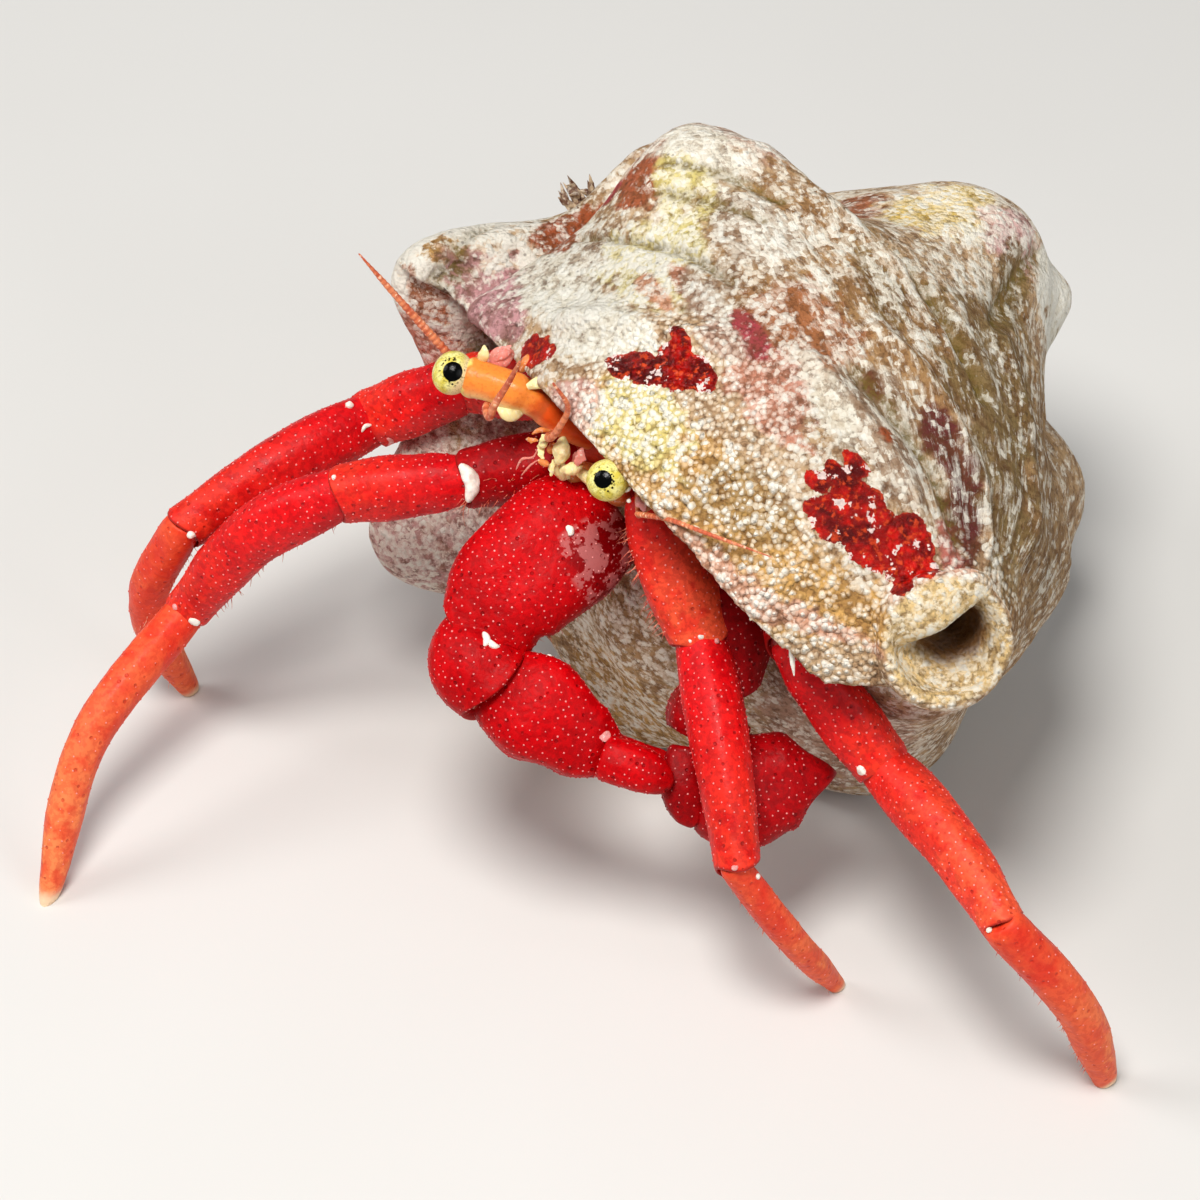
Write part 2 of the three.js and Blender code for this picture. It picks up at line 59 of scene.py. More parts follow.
SHELL_CENTRE = np.array([0.0, 0.0, 13.0])
SHELL_AXIS = np.array([0.8, -0.553, 0.233])
SHELL_AXIS /= np.linalg.norm(SHELL_AXIS)
CROWN = np.array([-0.446, -0.288, 0.849])
CROWN -= SHELL_AXIS * (CROWN @ SHELL_AXIS)
CROWN /= np.linalg.norm(CROWN)  # bearing 0, above the axis
FRONT = np.cross(SHELL_AXIS, CROWN)  # bearing 90, down in front of it
APEX, CANAL = -17.5, 21.0
LIP_REACH, LIP_STRAIGHT_RADIUS = 4.4, 5.0
WALL, COLUMELLA = 1.3, 2.6
PROFILE = np.array(
    [(-17.5, 0), (-16, 2.6), (-13, 5), (-9, 8.2), (-5, 10.8), (-1, 12), (4, 12.3), (8, 11.5)]
    + [(12, 9.8), (16, 7.1), (18.8, 3.6), (21, 0)]
)
# Knobs and dents: bearing and its spread in degrees, place along the axis and its spread, height.
KNOBS = (
    (21, 17, -7, 3.6, 5.3),
    (74, 24, -6.4, 5, 5.3),
    (-29, 16, -2.8, 5, 2.5),
    (-58, 11, -2, 5, -1.7),
    (-89, 15, 0.8, 5, 3.0),
    (-107, 8, 2, 1.7, 2.4),
    (-119, 10, 4.2, 4, -1.6),
    (-147, 22, 2.5, 5.5, 3),
    (-140, 22, 12, 3.5, 1.2),
    (109, 13, -3.2, 3.6, 1.4),
    (160, 24, 7.5, 4.5, 4.6),
    (172, 17, -3.5, 5, 3),
    (128, 16, -1.5, 4.5, 3.4),
)


# ---- Small mathematics ----


def unit(vector):
    return vector / np.linalg.norm(vector, axis=-1, keepdims=True)


def smoothstep(value, low, high):
    share = np.clip((value - low) / (high - low), 0, 1)
    return share * share * (3 - 2 * share)


def lerp(low, high, share):
    return low + (high - low) * share


def hump(distance, spread, steepness=2.0):
    """1 at a distance of 0, and next to nothing at twice the spread."""
    return np.exp(-(np.abs(distance / spread) ** steepness))


def wrap(degrees):
    return (degrees + 180) % 360 - 180


def value_at(values, share):
    """The value at a share (0 to 1) of the way along a list, eased from one entry to the next."""
    values = np.asarray(values, float)
    place = np.clip(share, 0, 1) * (len(values) - 1)
    index = np.minimum(place.astype(int), len(values) - 2)
    rest = place - index
    return lerp(values[index], values[index + 1], rest * rest * (3 - 2 * rest))


def scatter(cells, seed):
    """A number from 0 to 1 for each whole-numbered cell, the same on every run."""
    x, y, z = (cells[..., i].astype(np.int64).astype(np.uint64) for i in range(3))
    mixed = x * np.uint64(73856093) ^ y * np.uint64(19349663) ^ z * np.uint64(83492791)
    mixed ^= np.uint64(seed * 2654435761 + 97)
    mixed = (mixed ^ (mixed >> np.uint64(13))) * np.uint64(1274126177)
    mixed ^= mixed >> np.uint64(16)
    return (mixed & np.uint64(0xFFFFFF)).astype(float) / 0xFFFFFF


def noise(points, size, octaves=3, seed=0):
    """Smooth noise from -1 to 1, with features of about that size."""
    total, height, reach = 0.0, 1.0, 0.0
    points = np.asarray(points) / size
    for octave in range(octaves):
        cell = np.floor(points)
        rest = points - cell
        rest = rest * rest * (3 - 2 * rest)
        value = 0.0
        for corner in np.ndindex(2, 2, 2):
            weight = np.prod(np.where(corner, rest, 1 - rest), axis=-1)
            value = value + weight * scatter(cell + corner, seed + octave)
        total = total + height * (2 * value - 1)
        reach += height
        points, height = points * 2.03 + 17.1, height * 0.5
    return total / reach


def beads(points, spacing, seed=0):
    """How far each point is from the nearest of many scattered beads, in spacings."""
    points = np.asarray(points) / spacing
    cell = np.floor(points)
    nearest = np.full(len(points), 9.0)
    for corner in np.ndindex(3, 3, 3):
        there = cell + np.array(corner) - 1
        middle = there + np.stack([scatter(there, seed + i) for i in range(3)], -1)
        nearest = np.minimum(nearest, np.linalg.norm(points - middle, axis=-1))
    return nearest


# ---- Curves and sweeps ----


def catmull_rom(points, times):
    """Points of a centripetal Catmull-Rom curve, at times from 0 to 1."""
    points = np.asarray(points, float)
    padded = np.vstack([2 * points[0] - points[1], points, 2 * points[-1] - points[-2]])
    place = np.clip(times, 0, 1) * (len(points) - 1)
    index = np.minimum(place.astype(int), len(points) - 2)
    rest = (place - index)[:, None]
    a, b, c, d = (padded[index + i] for i in range(4))
    first, middle, last = (np.linalg.norm(q - p, axis=1)[:, None] ** 0.5 for p, q in ((a, b), (b, c), (c, d)))
    start = ((b - a) / first - (c - a) / (first + middle) + (c - b) / middle) * middle
    end = ((c - b) / middle - (d - b) / (middle + last) + (d - c) / last) * middle
    cubic = 2 * b - 2 * c + start + end
    square = -3 * b + 3 * c - 2 * start - end
    return b + rest * (start + rest * (square + rest * cubic))


def along_curve(points, shares):
    """Places and directions on the curve, at shares of its length."""
    times = np.linspace(0, 1, 201)
    samples = catmull_rom(points, times)
    lengths = np.concatenate([[0], np.cumsum(np.linalg.norm(np.diff(samples, axis=0), axis=1))])
    at = np.interp(shares * lengths[-1], lengths, times)
    step = 1e-4
    ahead = catmull_rom(points, np.minimum(at + step, 1)) - catmull_rom(points, np.maximum(at - step, 0))
    return catmull_rom(points, at), unit(ahead), lengths[-1]


class Loft:
    """A closed mesh of rings between two end points, with each vertex's share along and angle round."""

    def __init__(self, rings, shares, angles):
        self.rings, self.sides = rings.shape[0] - 2, rings.shape[1]
        inner = rings[1:-1].reshape(-1, 3)
        self.points = np.vstack([rings[0, :1], inner, rings[-1, :1]])
        grid_share = np.repeat(shares[1:-1], self.sides)
        self.share = np.concatenate([[shares[0]], grid_share, [shares[-1]]])
        self.angle = np.concatenate([[0], np.tile(angles, self.rings), [0]])

    def faces(self):
        """Quads between the rings and triangles at the two ends."""
        side = np.arange(self.sides)
        after = (side + 1) % self.sides
        row = 1 + np.arange(self.rings - 1)[:, None] * self.sides
        quads = np.stack([row + side, row + after, row + self.sides + after, row + self.sides + side], -1)
        last = 1 + (self.rings - 1) * self.sides
        end = len(self.points) - 1
        first_cap = np.stack([np.zeros_like(side), 1 + after, 1 + side], -1)
        last_cap = np.stack([np.full_like(side, end), last + side, last + after], -1)
        return [quads.reshape(-1, 4), first_cap, last_cap]


def outline_rings(outline, length, radius, step):
    """Shares and fullnesses of even rings along a smooth outline of (share, fullness) points."""
    outline = np.array(outline, float)
    places = np.column_stack([outline[:, 0] * length, outline[:, 1] * radius, np.zeros(len(outline))])
    smooth = catmull_rom(places, np.linspace(0, 1, 400))
    gone = np.concatenate([[0], np.cumsum(np.linalg.norm(np.diff(smooth, axis=0), axis=1))])
    even = np.linspace(0, gone[-1], max(int(gone[-1] / step), 8))
    shares, fullness = (np.interp(even, gone, smooth[:, i]) for i in (0, 1))
    return shares / length, np.maximum(fullness / radius, 0)


def sweep(
    points, widths, heights=None, up=UP, blunt=BLUNT, sides=48, rings=64, grow=0.0, shape=None,
    outline=None, step=0.1,
):  # fmt: skip
    """A round-ended body along a smooth curve: widths and heights are half-sizes. shape(share,
    angle) swells or narrows it from place to place, and an outline of (share, fullness) points
    takes the place of the round ends."""
    heights = widths if heights is None else heights
    if outline is None:
        shares = (1 - np.cos(np.pi * np.arange(rings + 1) / rings)) / 2
        fullness = (4 * shares * (1 - shares)) ** (blunt / 2)
    else:
        length = along_curve(points, np.array([0.0]))[2]
        shares, fullness = outline_rings(outline, length, max(widths), step)
        sides = int(2 * np.pi * max(widths) / step)
    angles = 2 * np.pi * np.arange(sides) / sides
    middle, tangent, _ = along_curve(points, shares)
    side = unit(np.cross(up, tangent))
    top = np.cross(tangent, side)
    swell = np.ones((len(shares), sides)) if shape is None else shape(shares[:, None], angles[None, :])
    across = (fullness * (value_at(widths, shares) + grow))[:, None] * np.cos(angles) * swell
    upward = (fullness * (value_at(heights, shares) + grow))[:, None] * np.sin(angles) * swell
    centre = middle + tangent * (grow * (2 * shares - 1))[:, None]
    rings_ = centre[:, None] + across[..., None] * side[:, None] + upward[..., None] * top[:, None]
    return Loft(rings_, shares, angles)


# ---- The frame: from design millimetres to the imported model's metres ----

EYES = {
    "right": ((-2.2, -8.2, 18.9), (-7.7, -10.2, 21.8)),
    "left": ((-0.6, -8.0, 18.9), (0.5, -12.1, 21.4)),
}
CORNEA_RADIUS, CORNEA_BACK, CORNEA_AHEAD = 0.95, 0.75, 0.85
EYESTALK_RADIUS, EYESTALK_SHORT = 0.68, 0.3


def cornea_points(side):
    base, top = np.array(EYES[side])
    return [top - CORNEA_BACK * unit(top - base), top + CORNEA_AHEAD * unit(top - base)]


# The right cornea is the plainest solid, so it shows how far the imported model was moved.
_plain = sweep(cornea_points("right"), [CORNEA_RADIUS] * 2, blunt=0.8, sides=CAD_SIDES, rings=CAD_RINGS)
SHIFT = np.array(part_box("right_cornea")[0]) * 1000 - _plain.points.min(axis=0)


def to_frame(points):
    return (np.asarray(points, float) + SHIFT) / 1000


def new_mesh(name, points, faces, materials=(), slots=None):
    """An object from points and a list of face arrays. slots gives each face array's material."""
    mesh = bpy.data.meshes.new(name)
    sizes = np.concatenate([np.full(len(f), f.shape[1]) for f in faces])
    corners = np.concatenate([f.ravel() for f in faces]).astype(np.int32)
    mesh.vertices.add(len(points))
    mesh.vertices.foreach_set("co", np.asarray(points, np.float32).ravel())
    mesh.loops.add(len(corners))
    mesh.loops.foreach_set("vertex_index", corners)
    mesh.polygons.add(len(sizes))
    mesh.polygons.foreach_set("loop_start", np.concatenate([[0], np.cumsum(sizes)[:-1]]).astype(np.int32))
    mesh.polygons.foreach_set("use_smooth", np.ones(len(sizes), bool))
    for material in materials:
        mesh.materials.append(material)
    if slots is not None:
        chosen = np.concatenate([np.full(len(f), s) for f, s in zip(faces, slots)]).astype(np.int32)
        mesh.polygons.foreach_set("material_index", chosen)
    mesh.update(calc_edges=True)
    mesh.validate()
    thing = bpy.data.objects.new(name, mesh)
    bpy.context.scene.collection.objects.link(thing)
    return thing


def points_of(thing):
    flat = np.empty(len(thing.data.vertices) * 3, np.float32)
    thing.data.vertices.foreach_get("co", flat)
    return flat.reshape(-1, 3).astype(float)


def normals_of(thing):
    flat = np.empty(len(thing.data.vertices) * 3, np.float32)
    thing.data.vertex_normals.foreach_get("vector", flat)
    return flat.reshape(-1, 3).astype(float)


def set_points(thing, points):
    thing.data.vertices.foreach_set("co", np.asarray(points, np.float32).ravel())
    thing.data.update()


def store(thing, name, values):
    """Keeps a number, or a vector of three, for each vertex, for the materials to read."""
    values = np.asarray(values, np.float32)
    kind, field = ("FLOAT", "value") if values.ndim == 1 else ("FLOAT_VECTOR", "vector")
    thing.data.attributes.new(name, kind, "POINT").data.foreach_set(field, values.ravel())


def put(thing, slot, *nodes):
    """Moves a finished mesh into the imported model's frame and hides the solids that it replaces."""
    set_points(thing, to_frame(points_of(thing)))
    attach(thing, "root")
    if nodes:
        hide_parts(*nodes)
    return thing


# ---- Materials ----


class Nodes:
    """Short names for building one material's node tree. Sizes are in millimetres."""

    def __init__(self, name, **shader):
        self.material = bpy.data.materials.new(name)
        self.material.use_nodes = True
        self.tree = self.material.node_tree
        self.shader = self.tree.nodes["Principled BSDF"]
        for socket, value in shader.items():
            self.shader.inputs[socket.replace("_", " ")].default_value = value
        self.place = self.add("ShaderNodeTexCoord").outputs["Object"]

    def add(self, kind, inputs=(), **settings):
        node = self.tree.nodes.new(kind)
        for name, value in settings.items():
            setattr(node, name, value)
        for socket, value in dict(inputs).items():
            self.feed(node.inputs[socket], value)
        return node

    def feed(self, socket, value):
        if isinstance(value, bpy.types.NodeSocket):
            self.tree.links.new(value, socket)
        elif value is not None:
            if isinstance(value, tuple) and len(value) == 3 and socket.type == "RGBA":
                value = (*value, 1)
            socket.default_value = value

    def attribute(self, name, output="Fac"):
        return self.add("ShaderNodeAttribute", attribute_name=name).outputs[output]

    def noise(self, size, detail=3.0, roughness=0.55, distortion=0.0, vector=None):
        inputs = {"Scale": 1000 / size, "Detail": detail, "Roughness": roughness, "Distortion": distortion}
        inputs["Vector"] = self.place if vector is None else vector
        return self.add("ShaderNodeTexNoise", inputs).outputs["Fac"]

    def cells(self, size, vector=None, output="Distance", feature="F1", randomness=1.0):
        inputs = {"Scale": 1000 / size, "Vector": self.place if vector is None else vector}
        inputs["Randomness"] = randomness
        return self.add("ShaderNodeTexVoronoi", inputs, feature=feature).outputs[output]

    def step(self, value, low, high, to_low=0.0, to_high=1.0):
        """Eased from to_low to to_high as value goes from low to high."""
        inputs = {"Value": value, "From Min": low, "From Max": high, "To Min": to_low, "To Max": to_high}
        return self.add("ShaderNodeMapRange", inputs, interpolation_type="SMOOTHSTEP").outputs["Result"]

    def maths(self, operation, first, second=None, clamp=False):
        node = self.add("ShaderNodeMath", {0: first, 1: second}, operation=operation, use_clamp=clamp)
        return node.outputs[0]

    def times(self, first, second, clamp=False):
        return self.maths("MULTIPLY", first, second, clamp)

    def plus(self, first, second, clamp=False):
        return self.maths("ADD", first, second, clamp)

    def minus(self, first, second, clamp=False):
        return self.maths("SUBTRACT", first, second, clamp)

    def mix(self, share, first, second, blend="MIX"):
        node = self.add("ShaderNodeMix", data_type="RGBA", blend_type=blend)
        for socket, value in zip((0, 6, 7), (share, first, second)):
            self.feed(node.inputs[socket], value)
        return node.outputs[2]

    def colour(self, value):
        self.feed(self.shader.inputs["Base Color"], value)

    def rough(self, value):
        self.feed(self.shader.inputs["Roughness"], value)

    def bump(self, *layers):
        """Layers of (height field, millimetres), the coarsest first."""
        normal = None
        for height, reach in layers:
            inputs = {"Height": height, "Distance": reach / 1000, "Strength": 1.0, "Normal": normal}
            normal = self.add("ShaderNodeBump", inputs).outputs["Normal"]
        self.feed(self.shader.inputs["Normal"], normal)


# ---- The shell ----


def in_shell(along, crown, front):
    parts = (np.asarray(part)[..., None] for part in (along, crown, front))
    return SHELL_CENTRE + sum(part * way for part, way in zip(parts, (SHELL_AXIS, CROWN, FRONT)))


def round_shell(along, bearing, radius):
    angle = np.radians(bearing)
    return in_shell(along, radius * np.cos(angle), radius * np.sin(angle))


def profile_radius(along):
    return np.interp(along, PROFILE[:, 0], PROFILE[:, 1])


def lip_bearing(along):
    radius = np.maximum(profile_radius(np.maximum(along, 0)), LIP_STRAIGHT_RADIUS)
    return np.degrees(np.arcsin(LIP_REACH / radius))


def shell_radius(along, turn):
    """Radius of the outside. turn is 0 where the last whorl starts, under the lip, and 1 at the lip."""
    plain = profile_radius(along)
    behind = 0.6 * hump(turn, 0.2, 1.6) * smoothstep(along, -7, -3)
    ahead = 0.8 * hump(turn, 0.31) + 0.17 * hump(turn - 0.52, 0.22)
    whorl = plain * (1 - lerp(behind, ahead, smoothstep(along, 3, 11)))
    whorl = whorl + 0.9 * hump(1 - turn, 0.04) * smoothstep(along, -5, -1) * (1 - smoothstep(along, 15, 19))
    groove = -4 - 5 * (1 - turn)
    past = (along - groove) % 5
    depth = 0.13 * hump(np.minimum(past, 5 - past), 0.8)
    whorl = whorl * (1 - np.where(along > groove + 2.5, 0, depth))
    bearing = lip_bearing(along) - 360 * (1 - turn)
    for facing, spread, place, length, height in KNOBS:
        knob = height * hump(wrap(bearing - facing), spread) * hump(along - place, length)
        whorl = whorl + knob * smoothstep(plain, 0, 4)
    return whorl


def skin_between(columns, rows, place):
    """A closed skin: place(around, share) gives its points, which meet in one at either end."""
    around = np.arange(columns) / columns
    shares = np.arange(rows + 1) / rows
    grid = place(*np.broadcast_arrays(around[None, :], shares[:, None]))
    return Loft(grid, shares, 2 * np.pi * around)


def shell_outside(columns, rows):
    def place(around, share):
        turn = 1 - np.minimum(around * columns / (columns - 1), 1)
        along = lerp(APEX, CANAL, lerp((1 - np.cos(np.pi * share)) / 2, share, 0.6))
        return round_shell(along, lip_bearing(along) - 360 * (1 - turn), shell_radius(along, turn))

    return skin_between(columns, rows, place)


def shell_cavity(columns, rows):
    """The room inside, from the mouth under the lip back round the pillar."""

    def place(around, share):
        turn = lerp(1.012, 0.392, share**1.1)
        depth = np.clip((1 - turn) / 0.608, 0, 1)
        openness = np.minimum(np.sin(np.pi * share) * 14, 1).clip(0) ** 0.5
        angle = 2 * np.pi * around
        along = lerp(6.4, -2.5, depth) + lerp(10, 3, depth) * openness * np.cos(angle)
        outer = shell_radius(along, np.minimum(turn, 1)) - WALL - 1.2 * depth
        inner = COLUMELLA - 0.08 * along + 1.2 * depth
        radius = lerp(inner, outer, (1 + np.sin(angle) * openness) / 2)
        return round_shell(along, lip_bearing(along) - 360 * (1 - turn), np.maximum(radius, inner))

    return skin_between(columns, rows, place)


CANAL_TUBE = [in_shell(14.0, -0.1, 0.2), in_shell(17.5, 0.7, -0.2), in_shell(20.5, 2.0, -0.2)]
CANAL_HOLLOW = [in_shell(17.1, 0.5, -0.9), in_shell(18.6, 1.2, -0.85), in_shell(19.8, 1.7, -0.5)]
CANAL_HOLLOW += [in_shell(21.9, 2.8, -0.1)]
CANAL_HOLLOW_RADII = [0.5, 1.15, 2.3, 3.2]
# The end of the lip, which folds over the canal from above.
HOOD = [in_shell(18.0, 2.7, 2.3), in_shell(19.1, 3.35, 0.4), in_shell(19.7, 3.3, -1.1)]
HOOD += [in_shell(19.9, 2.75, -2.5), in_shell(19.7, 1.8, -3.1)]
SHELL_MESH_STEP = 0.15


def with_modifier(thing, kind, **settings):
    """Applies one modifier to a mesh."""
    modifier = thing.modifiers.new(kind.title(), kind)
    for name, value in settings.items():
        setattr(modifier, name, value)
    evaluated = thing.evaluated_get(bpy.context.evaluated_depsgraph_get())
    mesh = bpy.data.meshes.new_from_object(evaluated)
    thing.modifiers.clear()
    thing.data = mesh
    return thing


def flip(faces):
    return [f[:, ::-1] for f in faces]


def facing_out(loft):
    """The loft's faces, turned so that its volume is positive."""
    faces = loft.faces()
    volume = 0.0
    for f in faces:
        corners = loft.points[f]
        for i in range(1, f.shape[1] - 1):
            volume += np.einsum("ij,ij->", corners[:, 0], np.cross(corners[:, i], corners[:, i + 1]))
    return faces if volume > 0 else flip(faces)


def shell_blank():
    """The shell's plain form as one even mesh: outside, spout and hood, less the room inside."""
    outside = shell_outside(144, 110)
    spout = sweep(CANAL_TUBE, [3.0, 2.5, 2.3, 2.6, 3.2], up=CROWN, blunt=0.2, sides=60, rings=40)
    room = shell_cavity(72, 60)
    hollow = sweep(CANAL_HOLLOW, CANAL_HOLLOW_RADII, up=CROWN, sides=60, rings=40)
    widths, heights = [0.7, 1.05, 1.15, 0.9, 0.4], [0.45, 0.6, 0.6, 0.45, 0.3]
    hood = sweep(HOOD, widths, heights, up=CLAW_FACING, blunt=0.9, sides=40, rings=40)
    lofts = (outside, spout, room, hollow, hood)
    solids = [new_mesh("blank", loft.points, facing_out(loft)) for loft in lofts]
    blank = solids[0]
    for other, operation in zip(solids[1:], ("UNION", "DIFFERENCE", "DIFFERENCE", "UNION")):
        with_modifier(blank, "BOOLEAN", operation=operation, solver="EXACT", object=other)
        bpy.data.objects.remove(other)
    with_modifier(blank, "REMESH", mode="VOXEL", voxel_size=SHELL_MESH_STEP, use_smooth_shade=True)
    return with_modifier(blank, "SMOOTH", factor=0.5, iterations=3)


def srgb(red, green, blue):
    """A colour as a person names it, from 0 to 255, in the linear numbers that shaders take."""
    return tuple(((c / 255 + 0.055) / 1.055) ** 2.4 if c > 10 else c / 3294.6 for c in (red, green, blue))


CREAM, WHITE, LILAC, PINK = srgb(228, 196, 160), srgb(224, 214, 192), srgb(216, 160, 162), srgb(214, 134, 112)
YELLOW, OLIVE, TAN, BROWN = srgb(228, 210, 126), srgb(132, 108, 64), srgb(184, 146, 100), srgb(176, 134, 86)
GREY, RUST, PLUM, ROSE = srgb(168, 142, 118), srgb(176, 82, 44), srgb(104, 46, 42), srgb(184, 66, 78)
OCHRE, BLUSH, MAUVE, AMBER = srgb(214, 164, 92), srgb(216, 158, 132), srgb(194, 154, 134), srgb(240, 204, 104)
# Stains and growths on the shell: place along the axis, bearing, half-lengths along and around in
# millimetres, ground colour, how solid it is, and how much of it pale crust covers.
# Many of these places were read with a scratch script and rounded.
STAINS = (
    (-9, 75, 7, 9, LILAC, 0.7, 0.6),
    (-5.2, 78, 4, 4.5, MAUVE, 0.6, 0.75),
    (-10, -20, 7, 7, TAN, 0.7, 0.5),
    (-6.2, 21, 3.4, 4.2, CREAM, 1.0, 1.5),
    (-5.5, 15, 0.9, 0.6, OCHRE, 0.95, 0.35),
    (-5.8, 24, 0.5, 0.9, RUST, 0.8, 0.35),
    (-6.2, 34, 0.9, 1.2, PINK, 0.9, 0.55),
    (-2.4, 15, 2.8, 1.9, LILAC, 1.0, 0.42),
    (-1.2, 19, 1.9, 1.0, LILAC, 1.0, 0.2),
    (-0.4, 4, 3.0, 1.8, WHITE, 0.9, 0.78),
    (3.4, 7, 4.2, 1.6, WHITE, 1.0, 1.0),
    (0.6, -4, 3.4, 1.2, GREY, 0.6, 0.7),
    (2.9, -8, 3.2, 1.7, YELLOW, 0.9, 1.1),
    (3.0, -16, 1.9, 0.9, YELLOW, 0.9, 1.0),
    (6.0, -11, 2.4, 0.5, PINK, 0.9, 0.45),
    (4.4, -5.5, 1.6, 0.4, PINK, 0.8, 0.5),
    (6.6, -15, 2.2, 1.5, GREY, 0.9, 0.7),
    (-2.6, -33, 3.6, 3.6, MAUVE, 0.9, 0.7),
    (-0.4, -27, 2.6, 1.6, WHITE, 0.9, 0.7),
    (-1.3, -17.5, 1.5, 1.2, RUST, 0.9, 0.2),
    (-2.9, -13, 0.5, 0.5, ROSE, 1.0, 0.0),
    (-4.4, -4, 1.3, 1.9, RUST, 0.95, 0.3),
    (-2.9, 0, 1.0, 0.7, RUST, 0.9, 0.2),
    (0.8, -22, 2.6, 0.9, YELLOW, 0.95, 0.6),
    (2.4, -17.5, 1.8, 0.6, YELLOW, 0.95, 0.6),
    (3.6, -30, 1.6, 1.0, AMBER, 0.7, 0.55),
    (7.0, -36, 5.0, 3.8, BROWN, 0.95, 0.5),
    (4.4, -25, 1.8, 1.4, BROWN, 0.8, 0.62),
    (11.0, -48, 4.4, 3.4, BROWN, 0.9, 0.42),
    (9.6, -26, 2.6, 2.2, RUST, 0.55, 0.62),
    (4.6, -27, 2.4, 1.4, GREY, 0.8, 0.75),
    (8.4, -45, 2.6, 1.0, OLIVE, 0.7, 0.5),
    (13.8, -30, 2.4, 1.8, GREY, 0.9, 0.5),
    (12.6, -19, 2.0, 1.0, WHITE, 0.7, 0.85),
    (11.6, -10, 2.1, 1.7, PINK, 0.8, 0.7),
    (8.9, -14, 1.2, 0.6, ROSE, 1.0, 0.08),
    (8.4, -9, 1.0, 0.7, MAUVE, 0.9, 0.5),
    (16.9, -51, 1.8, 0.9, PLUM, 1.0, 0.4),
    (14.7, -46, 1.2, 0.9, PLUM, 1.0, 0.3),
    (18.4, -38, 1.0, 0.7, ROSE, 0.7, 0.4),
    (14.5, -29, 0.35, 0.3, RUST, 1.0, 0.0),
    (12.6, -33, 0.5, 0.35, PLUM, 1.0, 0.0),
    (-0.6, -62, 1.8, 1.7, RUST, 0.75, 0.45),
    (2.2, -74, 2.5, 1.8, AMBER, 1.0, 0.75),
    (3.7, -84, 1.7, 1.6, LILAC, 0.8, 0.7),
    (5.9, -84, 2.2, 0.9, OLIVE, 0.9, 0.25),
    (4.0, -99, 1.9, 1.9, WHITE, 1.0, 1.2),
    (12.5, -76, 6.5, 3.8, OLIVE, 0.8, 0.34),
    (14.6, -98, 7, 5, OLIVE, 0.75, 0.2),
    (13, -135, 9, 9, TAN, 0.8, 0.3),
    (10.6, 17, 6.0, 2.4, OCHRE, 0.95, 0.65),
    (8.8, 14, 2.6, 1.8, YELLOW, 0.9, 0.85),
    (16.6, 24, 3.4, 2.2, OCHRE, 0.95, 0.42),
    (13.6, 12, 1.8, 1.6, OLIVE, 0.5, 0.55),
    (11.5, 33, 9, 1.3, BLUSH, 0.9, 0.5),
    (6.2, 19, 1.4, 1.2, LILAC, 0.7, 0.55),
    (19.6, -18, 1.4, 1.4, BLUSH, 0.9, 0.85),
    (3.6, 95, 8, 7, TAN, 0.8, 0.55),
    (-4.5, 80, 3, 3.0, LILAC, 0.5, 0.75),
    (11.5, 132, 4, 5, MAUVE, 0.8, 0.45),
    (2, 112, 3, 3.5, OCHRE, 0.8, 0.62),
)
# Blood-red crusts: place along the axis, bearing, half-lengths along and around.
# Some of these places were read with a scratch script and rounded.
CRUSTS = (
    (2.3, 17.5, 0.9, 0.6),
    (3.1, 15.5, 0.4, 0.35),
    (6.4, 9.0, 0.75, 0.4),
    (7.2, 5.6, 1.0, 0.75),
    (8.0, 1.8, 1.1, 0.95),
    (8.9, -1.0, 0.9, 0.6),
    (7.4, -3.0, 0.6, 0.35),
    (16.5, -8, 1.9, 1.75),
    (17.6, -12, 1.3, 1.1),
    (15.0, -17, 0.65, 0.45),
    (14.8, -11, 0.55, 0.45),
    (14.9, -5, 0.6, 0.5),
    (15.8, 1, 0.8, 0.55),
    (18.2, -14, 0.9, 0.8),
    (17.7, -22, 1.0, 0.9),
    (18.7, -19, 0.8, 0.7),
    (18.7, -6, 0.7, 0.7),
)
# Creases (below 0) and folds in the shell, from one place and bearing to another: width, height.
FOLDS = (
    (-2.2, -3, 2.0, -11.5, 0.2, -0.3),
    (2.0, -11.5, 3.9, -15, 0.2, -0.3),
    (3.9, -15, 6.2, -18, 0.2, -0.25),
    (-6.4, 8, -4.8, 16, 0.35, -0.35),
    (-4.8, 16, -4.9, 33, 0.35, -0.4),
    (2.6, 9, 8.4, -8, 0.6, 0.35),
    (-4.8, 24, 3.6, 7, 0.7, 0.3),
    (0.0, -38, 7.0, -52, 0.9, 0.5),
    (2.0, -47, 12.5, -66, 0.5, -0.5),
    (10.5, -40, 17.5, -62, 0.6, 0.45),
    (12.0, -30, 17.5, -44, 0.45, -0.4),
    (9.0, -78, 16.5, -90, 0.8, 0.4),
    (11.0, -22, 16.5, -30, 0.5, 0.35),
    (-1.0, -22, 3.2, -36, 0.2, -0.12),
    (-0.2, -18, 4.0, -30, 0.2, -0.12),
    (3.8, -90, 8.4, -77, 0.5, -0.45),
)
ARC_RADIUS = 11.5  # turns a bearing into millimetres around, for stains, crusts and folds


def over_shell(along, bearing, there, facing):
    """Millimetres along and around from one place on the shell to others."""
    reach = np.minimum(profile_radius(there) + 1.5, ARC_RADIUS)
    return along - there, np.radians(wrap(bearing - facing)) * reach


def to_fold(along, bearing, fold):
    """Distance from a crease or fold, with its ends fading out."""
    start, facing, end, end_facing = fold[:4]
    x, y = over_shell(along, bearing, start, facing)
    span = np.array([end - start, math.radians(end_facing - facing) * ARC_RADIUS])
    length = np.linalg.norm(span)
    share = (x * span[0] + y * span[1]) / length**2
    held = np.clip(share, 0, 1)
    return np.hypot(x - held * span[0], y - held * span[1])


